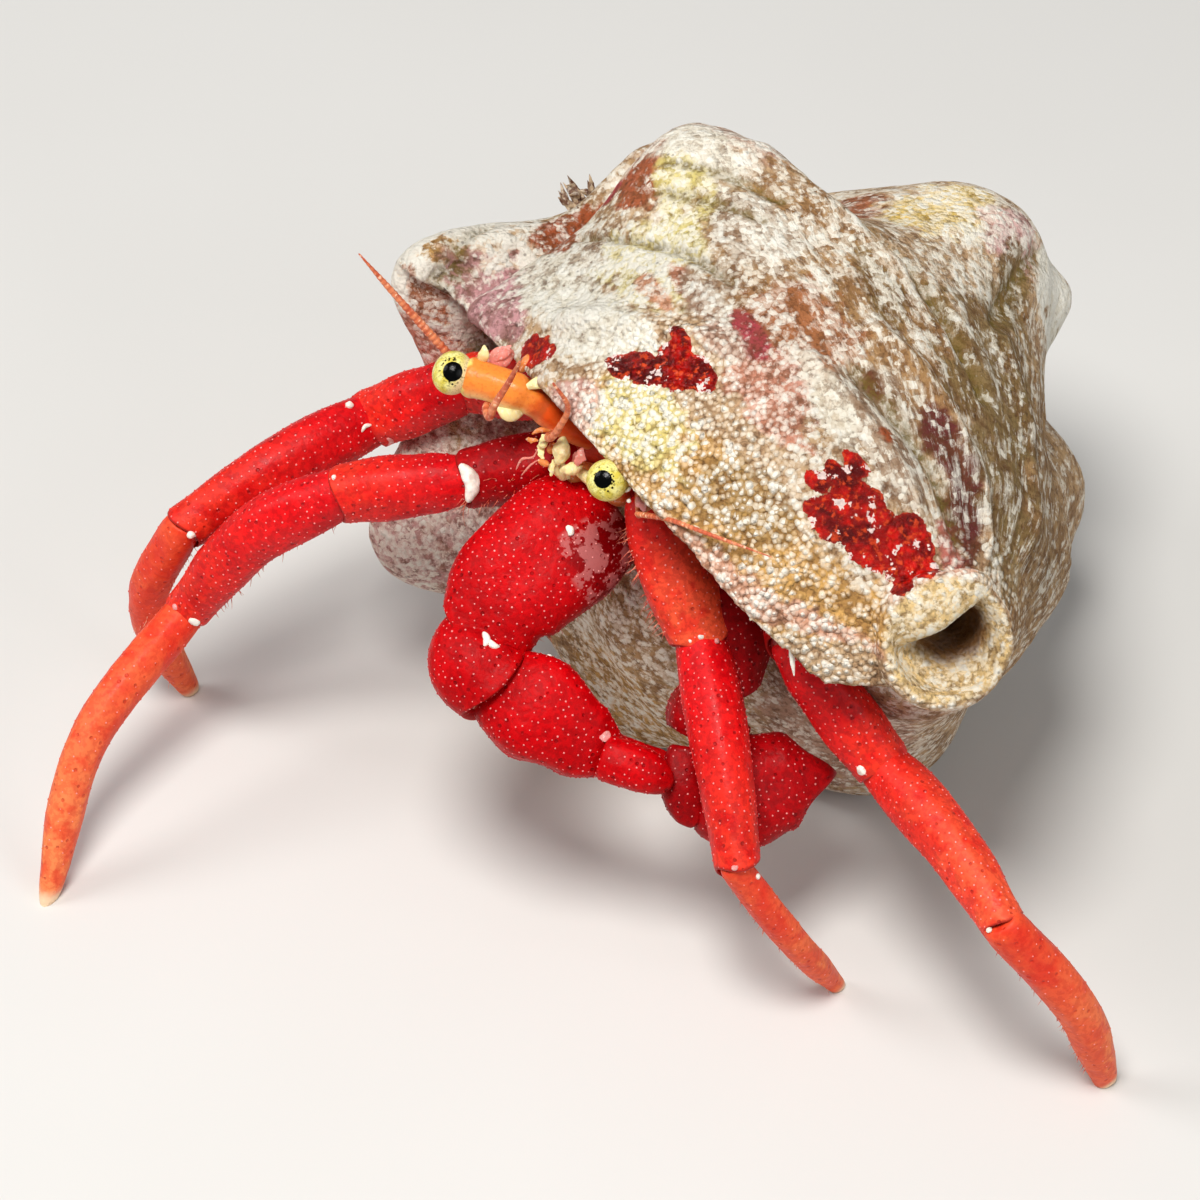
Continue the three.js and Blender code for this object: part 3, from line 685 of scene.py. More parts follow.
def in_bowl(points):
    """Which points are on the inside of the canal's mouth, and how deep in it, from 0 to 1."""
    shares = np.linspace(0, 1, 40)
    middles = along_curve(CANAL_HOLLOW, shares)[0]
    radii = value_at(CANAL_HOLLOW_RADII, shares)
    near = np.linalg.norm(points - middles[20], axis=1) < 6
    bowl, depth = np.zeros(len(points)), np.zeros(len(points))
    apart = np.linalg.norm(points[near][:, None] - middles[None], axis=2)
    closest = apart.argmin(axis=1)
    over = apart.min(axis=1) - radii[closest]
    bowl[near] = smoothstep(over, 0.30, 0.05)
    depth[near] = smoothstep(shares[closest], 0.62, 0.30)
    return bowl, depth


def dress_shell():
    shell = shell_blank()
    points = points_of(shell)
    normals = normals_of(shell)
    inward = points - SHELL_CENTRE
    along, crown, front = (inward @ way for way in (SHELL_AXIS, CROWN, FRONT))
    radius, bearing = np.hypot(crown, front), np.degrees(np.arctan2(front, crown))
    turn = 1 - ((lip_bearing(along) - bearing) % 360) / 360
    outside = smoothstep(radius, shell_radius(along, turn) - 0.9, shell_radius(along, turn) - 0.35)
    spout = smoothstep(along, 16.5, 18.5)
    outside = np.maximum(outside, spout)
    bowl, depth = in_bowl(points)
    flow = np.stack([along, 12 * crown / radius, 12 * front / radius], -1)

    # How granular, and how streaked along the shell, each place is.
    near_lip = hump(wrap(bearing - lip_bearing(along)) + 12, 24) * smoothstep(along, 3, 8)
    granular = np.clip(near_lip + 0.5 * spout, 0, 1) * outside * (1 - 0.8 * bowl)
    streaky = smoothstep(-bearing, 8, 42) * smoothstep(-bearing, 175, 120) * smoothstep(along, -2, 6)
    streaky = np.maximum(streaky, 0.6 * smoothstep(along, 5, 1) * smoothstep(-bearing, 4, 20)) * (1 - spout)

    wander = noise(points, 2.6, 4, seed=3)
    speckle = noise(points, 0.7, 3, seed=9)
    ragged = 0.4 * wander + 0.34 * speckle + 0.3 * noise(points, 0.36, 2, seed=15)
    tint = np.tile(np.array(lerp(np.array(TAN), np.array(CREAM), 0.4)), (len(points), 1))
    cover = np.full(len(points), 0.55)
    for place, facing, length, width, colour, solid, pale in STAINS:
        x, y = over_shell(along, bearing, place, facing)
        share = solid * smoothstep(-np.hypot(x / length, y / width) - ragged, -1.14, -0.86)
        tint = lerp(tint, np.array(colour), share[:, None])
        cover = lerp(cover, pale, share)

    tint = lerp(tint, np.array(srgb(252, 216, 150)), bowl[:, None])
    cover = lerp(cover, 0.62, bowl)

    lobes = beads(points, 0.9, seed=21)
    crust = np.full(len(points), -1.0)
    for place, facing, length, width in CRUSTS:
        x, y = over_shell(along, bearing, place, facing)
        field = 1 - np.hypot(x / length, y / width) + 0.45 * (0.55 - lobes) + 0.2 * wander + 0.3 * speckle
        crust = np.maximum(crust, field)
    crust = np.where((outside > 0.5) & (bowl < 0.5), crust, -1)

    height = 0.22 * noise(points, 5.0, 2, seed=5) + 0.08 * noise(points, 1.3, 3, seed=7)
    height += 0.13 * streaky * noise(flow * (0.35, 1.5, 1.5), 1.1, 3, seed=13)
    height += 0.05 * granular * (0.6 - beads(points, 0.42, seed=31))
    crease = np.zeros(len(points))
    for fold in FOLDS:
        line = hump(to_fold(along, bearing, fold) + 0.15 * wander, fold[4])
        height += fold[5] * line
        crease = np.maximum(crease, line * (fold[5] < 0))
    height += 0.06 * smoothstep(crust, 0, 0.3) * (1.5 - 1.6 * lobes)
    height *= outside * (1 - 0.85 * bowl)
    floor_fade = smoothstep(points[:, 2], 0.0, 0.5)  # the flats that it stands on stay flat
    points = points + normals * (height * floor_fade)[:, None]
    points[:, 2] = np.maximum(points[:, 2], 0)
    set_points(shell, points)

    store(shell, "tint", tint)
    store(shell, "flow", flow / 1000)
    store(shell, "cover", cover)
    store(shell, "granular", granular)
    store(shell, "streaky", streaky * outside)
    store(shell, "crust", crust)
    store(shell, "crease", crease)
    # How deep in the canal's mouth each point is, for the painted shade there.
    store(shell, "bowl", bowl * depth)
    store(shell, "outside", outside)
    shell.name = "snail_shell"
    shell.data.materials.clear()
    shell.data.materials.append(shell_material())
    return put(shell, "snail_shell", "shell_spire", "shell_body_whorl", "shell_siphonal_canal")


def shell_material():
    n = Nodes("worn shell", Specular_IOR_Level=0.25)
    tint, granular, streaky = n.attribute("tint", "Vector"), n.attribute("granular"), n.attribute("streaky")
    fine, mottle, patchy = n.noise(0.3, 4, 0.6), n.noise(1.1, 5, 0.65), n.noise(2.6, 6, 0.7, distortion=0.6)
    flow = n.add(
        "ShaderNodeVectorMath", {0: n.attribute("flow", "Vector"), 1: (0.42, 1.0, 1.0)}, operation="MULTIPLY"
    ).outputs[0]

    # The ground under the crust, dark in small hollows.
    colour = n.mix(n.step(mottle, 0.60, 0.40), tint, n.mix(0.5, tint, srgb(112, 70, 36)))
    colour = n.mix(n.times(n.step(fine, 0.50, 0.40), 0.5), colour, srgb(92, 54, 28))

    # Pale crust in flecks, as beads towards the lip, and drawn out along the shell at the right.
    grain = n.add("ShaderNodeTexVoronoi", {"Scale": 1000 / 0.26, "Vector": n.place})
    chance = n.add("ShaderNodeSeparateColor", {0: grain.outputs["Color"]}).outputs[0]
    plain = n.plus(n.noise(0.62, 6, 0.74), n.times(grain.outputs["Distance"], -0.16))
    drawn = n.plus(n.noise(0.5, 6, 0.72, vector=flow), n.minus(n.times(patchy, 0.12), 0.12))
    flecks = n.step(streaky, 0, 1)
    flecks = n.plus(plain, n.times(flecks, n.minus(drawn, plain)))
    flecks = n.plus(flecks, n.times(chance, 0.09))
    beaded = n.minus(n.times(mottle, 0.62), n.times(grain.outputs["Distance"], 0.42))
    beaded = n.plus(n.plus(beaded, n.times(chance, 0.12)), 0.33)
    share = n.step(granular, 0.1, 0.9)
    flecks = n.plus(flecks, n.times(share, n.minus(beaded, flecks)))
    drift = n.times(n.minus(patchy, 0.5), 0.35)
    level = n.plus(n.plus(flecks, drift), n.times(n.attribute("cover"), 0.24))
    pale = n.step(level, 0.600, 0.635)
    half = n.step(level, 0.53, 0.60)
    whiten = n.step(chance, 0.0, 1.0, 0.35, 0.78)
    whiten = n.minus(whiten, n.times(granular, 0.30))
    light = n.mix(whiten, tint, srgb(252, 246, 230))
    colour = n.mix(n.times(half, n.step(granular, 0.1, 0.9, 0.4, 0.65)), colour, light)
    colour = n.mix(n.times(pale, 0.95), colour, light)
    chalk = n.times(n.step(level, 0.68, 0.74), 0.7)
    colour = n.mix(chalk, colour, srgb(250, 246, 234))

    # Creases hold olive growth, and pits are dark.
    colour = n.mix(
        n.times(n.attribute("crease"), n.step(fine, 0.6, 0.4, 0.3, 0.9)), colour, srgb(118, 98, 42)
    )
    pit = n.times(n.step(n.cells(0.62), 0.16, 0.08), n.step(mottle, 0.6, 0.45))
    colour = n.mix(n.times(pit, 0.5), colour, srgb(70, 36, 20))

    # Blood-red crust with darker lobes and white flecks.
    edge = n.plus(n.attribute("crust"), n.times(n.minus(mottle, 0.5), 0.6))
    edge = n.plus(edge, n.times(n.minus(fine, 0.5), 0.5))
    crust = n.step(edge, 0.0, 0.03)
    lobes = n.cells(0.55)
    blood = n.mix(n.step(n.noise(1.3, 4, 0.6), 0.40, 0.60), srgb(92, 0, 0), srgb(214, 16, 4))
    blood = n.mix(n.times(n.step(lobes, 0.35, 0.62), 0.55), blood, srgb(84, 0, 0))
    blood = n.mix(n.times(n.step(fine, 0.53, 0.64), 0.8), blood, srgb(228, 74, 30))
    thin = n.times(n.step(edge, 0.22, 0.0), 0.45)
    blood = n.mix(thin, blood, srgb(170, 36, 16))
    fleck = n.step(n.noise(0.55, 3, 0.6), 0.61, 0.63)
    blood = n.mix(fleck, blood, srgb(246, 220, 212))
    colour = n.mix(crust, colour, blood)

    # Painted shade: deeper in the canal's mouth the colour darkens to brown.
    bowl = n.plus(n.attribute("bowl"), n.times(n.minus(mottle, 0.5), 0.5))
    colour = n.mix(n.step(bowl, 0.15, 0.85, 0.0, 0.92), colour, srgb(112, 66, 20))
    inner = n.mix(n.step(mottle, 0.4, 0.6), srgb(96, 70, 38), srgb(168, 142, 96))
    colour = n.mix(n.attribute("outside"), inner, colour)
    n.colour(colour)
    n.rough(n.step(crust, 0, 1, 0.85, 0.34))
    n.bump((mottle, 0.22), (level, 0.35), (n.times(grain.outputs["Distance"], -1.0), 0.05), (fine, 0.05))
    return n.material


# ---- The crab's articles ----

# Each walking leg: joints from the body to the tip, and the middle of an article that is arched.
# At least ten of these points are typed from a scratch script's readings, not from the frame.
WALKING_LEGS = {
    "right_front_leg": {
        "joints": [(-2.6, -7.0, 17.2), (-7.3, -10.3, 16.2), (-11.7, -12.9, 15.4), (-17.5, -15.9, 8.4)]
        + [(-18.2, -26.4, -0.25)],
        "bows": {"propodus": (-14.6, -14.6, 13.2), "dactyl": (-18.6, -22.0, 5.5)},
        "girth": 1.0,
        "tip_girth": 1.05,
    },
    "right_rear_leg": {
        "joints": [(-4.6, -4.2, 17.6), (-10.0, -5.3, 16.3), (-13.9, -6.8, 13.6), (-18.4, -14.7, 11.6)]
        + [(-19.6, -13.0, -0.25)],
        "bows": {"propodus": (-15.9, -10.8, 13.3), "dactyl": (-20.2, -15.0, 6.6)},
        "girth": 1.05,
        "tip_girth": 0.95,
    },
    "left_front_leg": {
        "joints": [(0.9, -6.9, 18.6), (1.3, -9.8, 18.5), (4.5, -11.5, 14.0), (9.8, -17.8, 9.0)]
        + [(12.6, -13.9, -0.25)],
        "bows": {"propodus": (7.3, -14.8, 11.9), "dactyl": (11.6, -16.4, 4.6)},
        "girth": 1.0,
        "tip_girth": 0.72,
    },
    "left_rear_leg": {
        "joints": [(3.5, -7.0, 17.1), (8.7, -11.5, 15.6), (13.0, -11.7, 11.2), (20.7, -15.7, 9.6)]
        + [(24.4, -13.0, -0.25)],
        "bows": {"merus": (6.6, -8.6, 16.1), "propodus": (16.9, -13.6, 10.8), "dactyl": (23.2, -14.4, 5.4)},
        "girth": 0.98,
        "tip_girth": 1.05,
    },
}
# Half-widths, half-heights, and how far each article reaches back into the one before.
ARTICLES = {
    "merus": ([1.0, 1.3, 1.35, 1.15], [1.1, 1.4, 1.5, 1.25], 0),
    "carpus": ([0.9, 1.15, 1.3, 1.17], [0.95, 1.3, 1.4, 1.23], 0.3),
    "propodus": ([1.05, 1.2, 1.1, 0.93], [1.15, 1.35, 1.25, 0.98], 0.4),
    "dactyl": ([0.84, 0.82, 0.74, 0.5], [0.9, 0.9, 0.8, 0.52], 0.4),
}
# The claws: points, half-widths and half-heights. Their broad faces all look the same way.
CLAWS = {
    "right_claw_merus": (
        [(-0.9, -9.2, 16.6), (-2.2, -11.9, 15.9), (-3.2, -14.2, 14.7), (-3.4, -15.5, 13.6)],
        [2.2, 2.7, 2.6, 2.0], [1.5, 1.9, 1.9, 1.7],
    ),
    "right_claw_carpus": (
        [(-3.4, -15.2, 13.7), (-3.0, -16.5, 13.2), (-1.7, -16.9, 12.6)], [1.75, 1.95, 1.8], [1.5, 1.75, 1.6],
    ),
    "right_claw_palm": (
        [(-2.2, -16.5, 12.5), (0.3, -16.5, 11.8), (2.1, -16.1, 10.7), (3.0, -15.3, 9.9), (4.5, -14.1, 9.4)],
        [1.8, 2.2, 1.7, 0.8, 0.5], [1.4, 1.6, 1.3, 0.7, 0.45],
    ),
    "right_claw_finger": (
        [(2.8, -16.5, 10.8), (4.3, -16.2, 10.6), (5.4, -15.7, 9.9)], [0.95, 0.9, 0.65], [0.95, 0.9, 0.65],
    ),
    "left_claw_merus": (
        [(2.9, -8.8, 16.4), (4.9, -10.0, 13.5), (5.5, -11.4, 11.5)], [1.3, 1.8, 1.5], [1.3, 1.8, 1.5],
    ),
    "left_claw_carpus": (
        [(5.5, -11.6, 11.1), (5.3, -12.2, 10.6), (5.5, -12.7, 10.0)], [1.5, 1.75, 1.6], [1.5, 1.75, 1.6],
    ),
    "left_claw_palm": (
        [(6.1, -14.1, 8.9), (7.5, -13.5, 8.6), (8.7, -12.4, 8.7), (10.1, -11.3, 8.8)],
        [2.1, 2.35, 2.0, 0.9], [1.4, 1.5, 1.4, 0.8],
    ),
    "left_claw_finger": (
        [(5.2, -13.9, 10.3), (5.6, -15.0, 9.3), (6.4, -15.7, 8.0)], [0.75, 0.85, 0.6], [0.75, 0.85, 0.6],
    ),
}  # fmt: skip
# (share along, fullness) from the neck, past the shoulder and the collar, into the cup at the end.
CUPPED = [(0.04, 0), (0.0, 0.3), (-0.004, 0.62), (0.012, 0.84), (0.05, 0.95), (0.14, 1.0), (0.5, 1.0)]
CUPPED += [(0.86, 0.98), (0.95, 1.01), (0.985, 0.99), (0.994, 0.93), (0.98, 0.86), (0.95, 0.7), (0.94, 0)]
TAPERED = [(0.04, 0), (0.0, 0.3), (-0.004, 0.62), (0.012, 0.84), (0.05, 0.95), (0.14, 1.0), (0.5, 1.0)]
TAPERED += [(0.9, 0.98), (0.96, 0.86), (0.99, 0.6), (1.0, 0.28), (1.0, 0)]
LIMBS = {}  # every article: points, half-widths, half-heights and which way is up
MORE_BACK = 0.25  # the looks' articles reach a little farther back than the solids do
ARTICLE_STEP = 0.085
CLAW_SQUARENESS = 2.7
RIM_SWING = 0.16  # how far the rims of the joints swing to and fro, in half-widths


def leg_articles():
    """Name, points, half-widths and half-heights of every walking leg's articles."""
    for leg, form in WALKING_LEGS.items():
        for index, (article, (widths, heights, back)) in enumerate(ARTICLES.items()):
            joints = np.array(form["joints"])
            points = [joints[index], joints[index + 1]]
            if article in form["bows"]:
                points.insert(1, np.array(form["bows"][article]))
            points[0] = points[0] - unit(points[1] - points[0]) * (back + MORE_BACK)
            girth = form["tip_girth" if article == "dactyl" else "girth"]
            yield f"{leg}_{article}", points, [w * girth for w in widths], [h * girth for h in heights]


def sprinkle(points, spacing, seed, allowed=None):
    """Which of many points to keep so that none are much closer than the spacing."""
    chance = np.random.default_rng(seed).random(len(points))
    if allowed is not None:
        chance = np.where(np.random.default_rng(seed + 1).random(len(points)) < allowed, chance, 2)
    cells = np.floor(points / spacing).astype(int)
    order = np.lexsort((chance, cells[:, 2], cells[:, 1], cells[:, 0]))
    ordered = cells[order]
    first = np.concatenate([[True], np.any(ordered[1:] != ordered[:-1], axis=1)])
    kept = order[first & (chance[order] < 2)]
    tree = KDTree(len(kept))
    for index, point in enumerate(points[kept]):
        tree.insert(point, index)
    tree.balance()
    dropped = set()
    for index in np.argsort(chance[kept]):
        if index not in dropped:
            near = tree.find_range(points[kept[index]], 0.72 * spacing)
            dropped.update(other for _, other, _ in near if other != index)
    return np.array([k for i, k in enumerate(kept) if i not in dropped], int)


def domes(places, normals, radii, height=0.6, sides=6, sunk=0.25):
    """Little round bumps, each with two rings and a top: points, faces, and how near to the top."""
    count = len(places)
    helper = np.where(np.abs(normals[:, 2:]) < 0.9, [[0.0, 0, 1]], [[1.0, 0, 0]])
    side = unit(np.cross(helper, normals))
    other = np.cross(normals, side)
    angles = 2 * np.pi * np.arange(sides) / sides
    around = np.cos(angles)[None, :, None] * side[:, None] + np.sin(angles)[None, :, None] * other[:, None]
    reach = radii[:, None, None]
    lift = normals[:, None] * reach
    low = places[:, None] + around * reach - lift * sunk
    high = places[:, None] + around * reach * 0.66 + lift * height * 0.72
    top = places[:, None] + lift * height
    points = np.concatenate([low, high, top], axis=1).reshape(-1, 3)
    start = (np.arange(count) * (2 * sides + 1))[:, None]
    k, after = np.arange(sides)[None, :], (np.arange(sides)[None, :] + 1) % sides
    quads = np.stack([start + k, start + after, start + sides + after, start + sides + k], -1).reshape(-1, 4)
    tips = np.stack([start + sides + k, start + sides + after, start + 2 * sides + 0 * k], -1).reshape(-1, 3)
    level = np.tile(np.concatenate([np.zeros(sides), np.full(sides, 0.75), [1.0]]), count)
    return points, [quads, tips], level


def limb_shape(seed, squareness=2.0):
    """Soft ridges along a limb, which fade at its ends. A squareness over 2 flattens its faces."""

    def shape(share, angle):
        middle = smoothstep(share, 0.0, 0.2) * smoothstep(share, 1.0, 0.8)
        ridges = 0.022 * np.cos(4 * angle + seed) + 0.014 * np.cos(7 * angle - seed)
        both = np.abs(np.cos(angle)) ** squareness + np.abs(np.sin(angle)) ** squareness
        return (1 + middle * ridges) * both ** (-1 / squareness)

    return shape


def add_article(name, spacing, dot, slot, material, tapered=False):
    """One hard article of a limb, with its raised dots, in place of its solid."""
    points, widths, heights, up = LIMBS[name]
    seed = sum(map(ord, name))
    outline = TAPERED if tapered else CUPPED
    shape = limb_shape(seed, CLAW_SQUARENESS if "claw" in name else 2.0)
    body = sweep(points, widths, heights, up, outline=outline, step=ARTICLE_STEP, shape=shape)
    # The far rim isn't cut square: it runs farther out above and below than at the two hinges.
    slant = RIM_SWING * np.cos(2 * body.angle + 3.3) - 0.4 * RIM_SWING * np.cos(body.angle + seed)
    ahead = along_curve(points, np.array([1.0]))[1][0]
    body.points = body.points + ahead * (slant * max(widths) * smoothstep(body.share, 0.72, 0.97))[:, None]
    bare = new_mesh("bare", body.points, facing_out(body))
    normals = normals_of(bare)
    bpy.data.objects.remove(bare)
    skin = body.points
    girth = max(widths)
    skin = skin + normals * (0.045 * girth * noise(skin, 1.6 * girth, 3, seed))[:, None]

    inside = (body.share > 0.985) | (body.share < 0.02)
    blotchy = 0.5 + 0.5 * noise(skin, 2.0, 2, seed + 5)
    allowed = np.where(inside, 0, 0.35 + 0.65 * blotchy)
    if tapered:
        allowed = allowed * smoothstep(body.share, 0.9, 0.55)
    chosen = sprinkle(skin, spacing, seed, allowed)
    radii = dot * (0.7 + 0.6 * np.random.default_rng(seed + 2).random(len(chosen)))
    bumps, bump_faces, level = domes(skin[chosen], normals[chosen], radii)

    faces = facing_out(body) + [f + len(skin) for f in bump_faces]
    everything = np.vstack([skin, bumps])
    everything[:, 2] = np.maximum(everything[:, 2], 0)
    thing = new_mesh("cuticle_" + name, everything, faces, [material])
    each = len(level) // max(len(chosen), 1)
    store(thing, "share", np.concatenate([body.share, np.repeat(body.share[chosen], each)]))
    # Which way each point faces, up or down, for the painted highlight.
    store(thing, "painted_highlight_side", np.concatenate([np.sin(body.angle), np.repeat(np.sin(body.angle[chosen]), each)]))
    store(thing, "dot", np.concatenate([np.zeros(len(skin)), level]))
    if name == "right_claw_merus":  # a pale film and painted shade on one flank, near the body
        film_and_painted_shade = smoothstep(body.share, 0.5, 0.3) * smoothstep(np.cos(body.angle - 0.6), 0.35, 0.75)
        store(thing, "film_and_painted_shade", np.concatenate([film_and_painted_shade, np.repeat(film_and_painted_shade[chosen], each)]))
    return put(thing, slot, name)


def cuticle_material(name, low, main, bright, orange, orange_share, tip=None, gloss=0.22):
    """Hard red skin: low in the pits, bright where raised, with orange drawn along it and, as a painted
    highlight, onto its upper side.
    """
    n = Nodes(name, Specular_IOR_Level=gloss)
    fine, mottle, broad = n.noise(0.25, 3), n.noise(0.9, 4, 0.6), n.noise(3.2, 3)
    colour = n.mix(n.step(n.plus(broad, n.times(mottle, 0.6)), 0.62, 0.95), main, bright)
    along = n.step(n.attribute("share"), *orange_share)
    # Painted highlight: more of the orange on each article's upper side.
    drift = n.step(n.plus(mottle, n.times(n.attribute("painted_highlight_side"), 0.16)), 0.46, 0.72)
    colour = n.mix(n.times(along, n.step(drift, 0, 1, 0.35, 1.0)), colour, orange)
    # Dark pits, each with a deeper middle, thickest where the skin is darkest.
    pit = n.step(n.cells(0.52), 0.19, 0.10)
    colour = n.mix(n.times(pit, 0.55), colour, low)
    shade = n.times(n.step(fine, 0.56, 0.42), 0.3)
    colour = n.mix(shade, colour, low)
    torn = n.plus(mottle, n.times(n.minus(fine, 0.5), 0.5))
    torn = n.plus(torn, n.times(n.attribute("film_and_painted_shade"), 0.10))
    film_and_painted_shade = n.times(n.step(n.attribute("film_and_painted_shade"), 0.05, 0.3), n.step(torn, 0.585, 0.64, 0.0, 0.6))
    # Painted shade: that flank of the claw's merus darkened towards the low red.
    colour = n.mix(n.times(n.attribute("film_and_painted_shade"), 0.75), colour, low)
    colour = n.mix(film_and_painted_shade, colour, srgb(196, 118, 116))
    # Pale caps on the raised dots.
    dot = n.times(n.step(n.attribute("dot"), 0.35, 1.0), n.step(mottle, 0.35, 0.55, 0.45, 0.9))
    colour = n.mix(dot, colour, srgb(255, 168, 164))
    # Dull at the rims of the joints.
    rim = n.step(n.plus(n.attribute("share"), n.times(mottle, 0.02)), 0.985, 0.998)
    if tip:
        start, end, pale = tip
        near_tip = n.step(n.plus(n.attribute("share"), n.times(mottle, 0.04)), start, end)
        colour = n.mix(near_tip, colour, pale)
    else:
        colour = n.mix(n.times(rim, 0.7), colour, srgb(150, 20, 14))
    n.colour(colour)
    n.rough(n.step(mottle, 0.3, 0.7, 0.40, 0.58))
    n.bump((mottle, 0.07), (n.minus(1.0, pit), 0.035), (fine, 0.03))
    return n.material


def build_articles():
    scarlet = cuticle_material(
        "scarlet cuticle", srgb(112, 0, 6), srgb(204, 0, 12), srgb(232, 14, 20), srgb(244, 62, 34), (0.2, 1.4)
    )
    claw = cuticle_material(
        "claw cuticle", srgb(96, 0, 4), srgb(178, 0, 6), srgb(204, 2, 10), srgb(230, 34, 24), (0.7, 2.2),
        gloss=0.09,
    )
    # Painted light: a brighter, more orange copy of the red for two articles.
    painted_light_cuticle = cuticle_material(
        "sunlit cuticle", srgb(140, 4, 8), srgb(220, 14, 16), srgb(236, 34, 28), srgb(248, 92, 54),
        (-0.1, 1.0),
    )
    # Painted shade: a darker copy of the red for the meri near the mouth and for the left claw.
    painted_shade_cuticle = cuticle_material(
        "cuticle with painted shade", srgb(80, 0, 4), srgb(150, 0, 6), srgb(180, 2, 10), srgb(206, 26, 20), (0.7, 2.2),
        gloss=0.12,
    )
    orange = cuticle_material(
        "orange cuticle", srgb(196, 26, 12), srgb(228, 48, 26), srgb(240, 84, 46), srgb(248, 134, 78),
        (0.0, 0.9),
        tip=(0.95, 0.995, srgb(250, 214, 176)),
    )  # fmt: skip
    for name, points, widths, heights in leg_articles():
        if name == "left_front_leg_carpus":  # a broader paddle than its neighbours
            widths = [w * swell for w, swell in zip(widths, (1.4, 1.34, 1.24, 1.14))]
        LIMBS[name] = (points, widths, heights, UP)
        if name.endswith("dactyl"):
            add_article(name, 0.5, 0.045, "orange_cuticle", orange, True)
        else:
            in_painted_light = name in ("left_rear_leg_propodus", "left_front_leg_carpus")
            in_painted_shade = name in ("right_front_leg_merus", "left_front_leg_merus", "left_rear_leg_merus")
            add_article(name, 0.36, 0.05, "scarlet_cuticle", painted_light_cuticle if in_painted_light else painted_shade_cuticle if in_painted_shade else scarlet)
    for name, (points, widths, heights) in CLAWS.items():
        LIMBS[name] = ([np.array(p) for p in points], widths, heights, CLAW_FACING)
        # The left claw's articles take the copy with painted shade.
        add_article(
            name, 0.33, 0.05, "scarlet_cuticle", painted_shade_cuticle if name.startswith("left") else claw,
            name.endswith(("palm", "finger")),
        )


# ---- Eyes ----


def build_eye(side):
    base, top = (np.array(p) for p in EYES[side])
    lengthwise = unit(top - base)
    ball = sweep(
        cornea_points(side), [CORNEA_RADIUS * CORNEA_SWELL[side]] * 2, blunt=0.95, sides=72, rings=60
    )
    thing = new_mesh(f"eye_{side}", ball.points, facing_out(ball), [cornea_material(side)])
    gaze = unit(np.array(GAZES[side]))
    middle = top + 0.05 * lengthwise
    facing = unit(ball.points - middle)
    store(thing, "gaze", facing @ gaze)
    store(thing, "ahead", facing @ lengthwise)
    put(thing, "cornea", f"{side}_cornea")

    points, widths = [np.array(p) for p in STALK_POINTS[side]], STALK_WIDTHS[side]
    stalk = sweep(points, widths, outline=STALK, step=0.06, shape=limb_shape(2))
    thing = new_mesh(f"stalk_{side}", stalk.points, facing_out(stalk), [eyestalk_material(side)])
    store(thing, "share", stalk.share)
    store(thing, "under", -np.sin(stalk.angle))
    put(thing, "eyestalk", f"{side}_eyestalk")


CORNEA_SWELL = {"right": 0.95, "left": 0.88}  # how much of its solid each cornea fills
# The way each pupil faces, and each eyestalk: its points and half-widths, with a waist in the
# middle, and its outline with a ring where the eye sits in it.
GAZES = {"right": (0.36, -0.59, 0.73), "left": (0.13, -0.70, 0.71)}
# The right stalk's points are typed from a scratch script's readings, not from the frame.
STALK_POINTS = {
    "right": [
        (-2.23, -8.13, 18.96), (-3.12, -8.68, 19.77), (-4.27, -9.25, 20.84),
        (-5.27, -9.59, 21.47), (-6.26, -9.80, 21.65), (-7.26, -9.91, 21.63),
    ],
    "left": [(-0.6, -8.0, 18.9), (0.0, -10.2, 20.2), (0.45, -11.8, 21.2)],
}
STALK_WIDTHS = {
    "right": (0.5, 0.55, 0.6, 0.62, 0.64, 0.65, 0.58, 0.6, 0.78, 0.76, 0.76, 0.78, 0.8),
    "left": (0.7, 0.6, 0.75),
}
STALK = [(0.02, 0), (0.0, 0.6), (0.03, 0.95), (0.1, 1.0), (0.56, 1.0), (0.9, 1.0), (0.96, 1.06), (1.0, 0.9)]
STALK += [(1.0, 0)]


def cornea_material(side):
    n = Nodes(f"cornea {side}", Specular_IOR_Level=0.14)
    gaze = n.plus(n.attribute("gaze"), n.times(n.noise(0.15, 2), 0.012))
    fine = n.noise(0.07, 3)
    yellow = n.mix(n.step(n.noise(0.35, 3), 0.35, 0.65), srgb(218, 200, 80), srgb(240, 232, 150))
    yellow = n.mix(n.step(n.attribute("ahead"), 0.15, -0.35), yellow, srgb(236, 214, 160))
    # Dark specks, thick in a ring about the pupil and thinner away from it.
    ring = n.times(n.step(gaze, 0.70, 0.82), n.step(gaze, 0.975, 0.92))
    near = n.times(n.step(n.noise(0.6, 3), 0.42, 0.58), ring)
    specks = n.times(n.step(n.cells(0.13), 0.46, 0.34), n.plus(near, 0.16), clamp=True)
    colour = n.mix(specks, yellow, srgb(44, 34, 8))
    colour = n.mix(n.times(n.step(fine, 0.52, 0.64), 0.4), colour, srgb(120, 104, 30))
    colour = n.mix(n.step(gaze, 0.896, 0.906), colour, (0.0012, 0.0012, 0.0012))
    n.colour(colour)
    n.rough(n.step(gaze, 0.88, 0.91, 0.3, 0.14))
    n.bump((n.cells(0.05), 0.004))
    return n.material


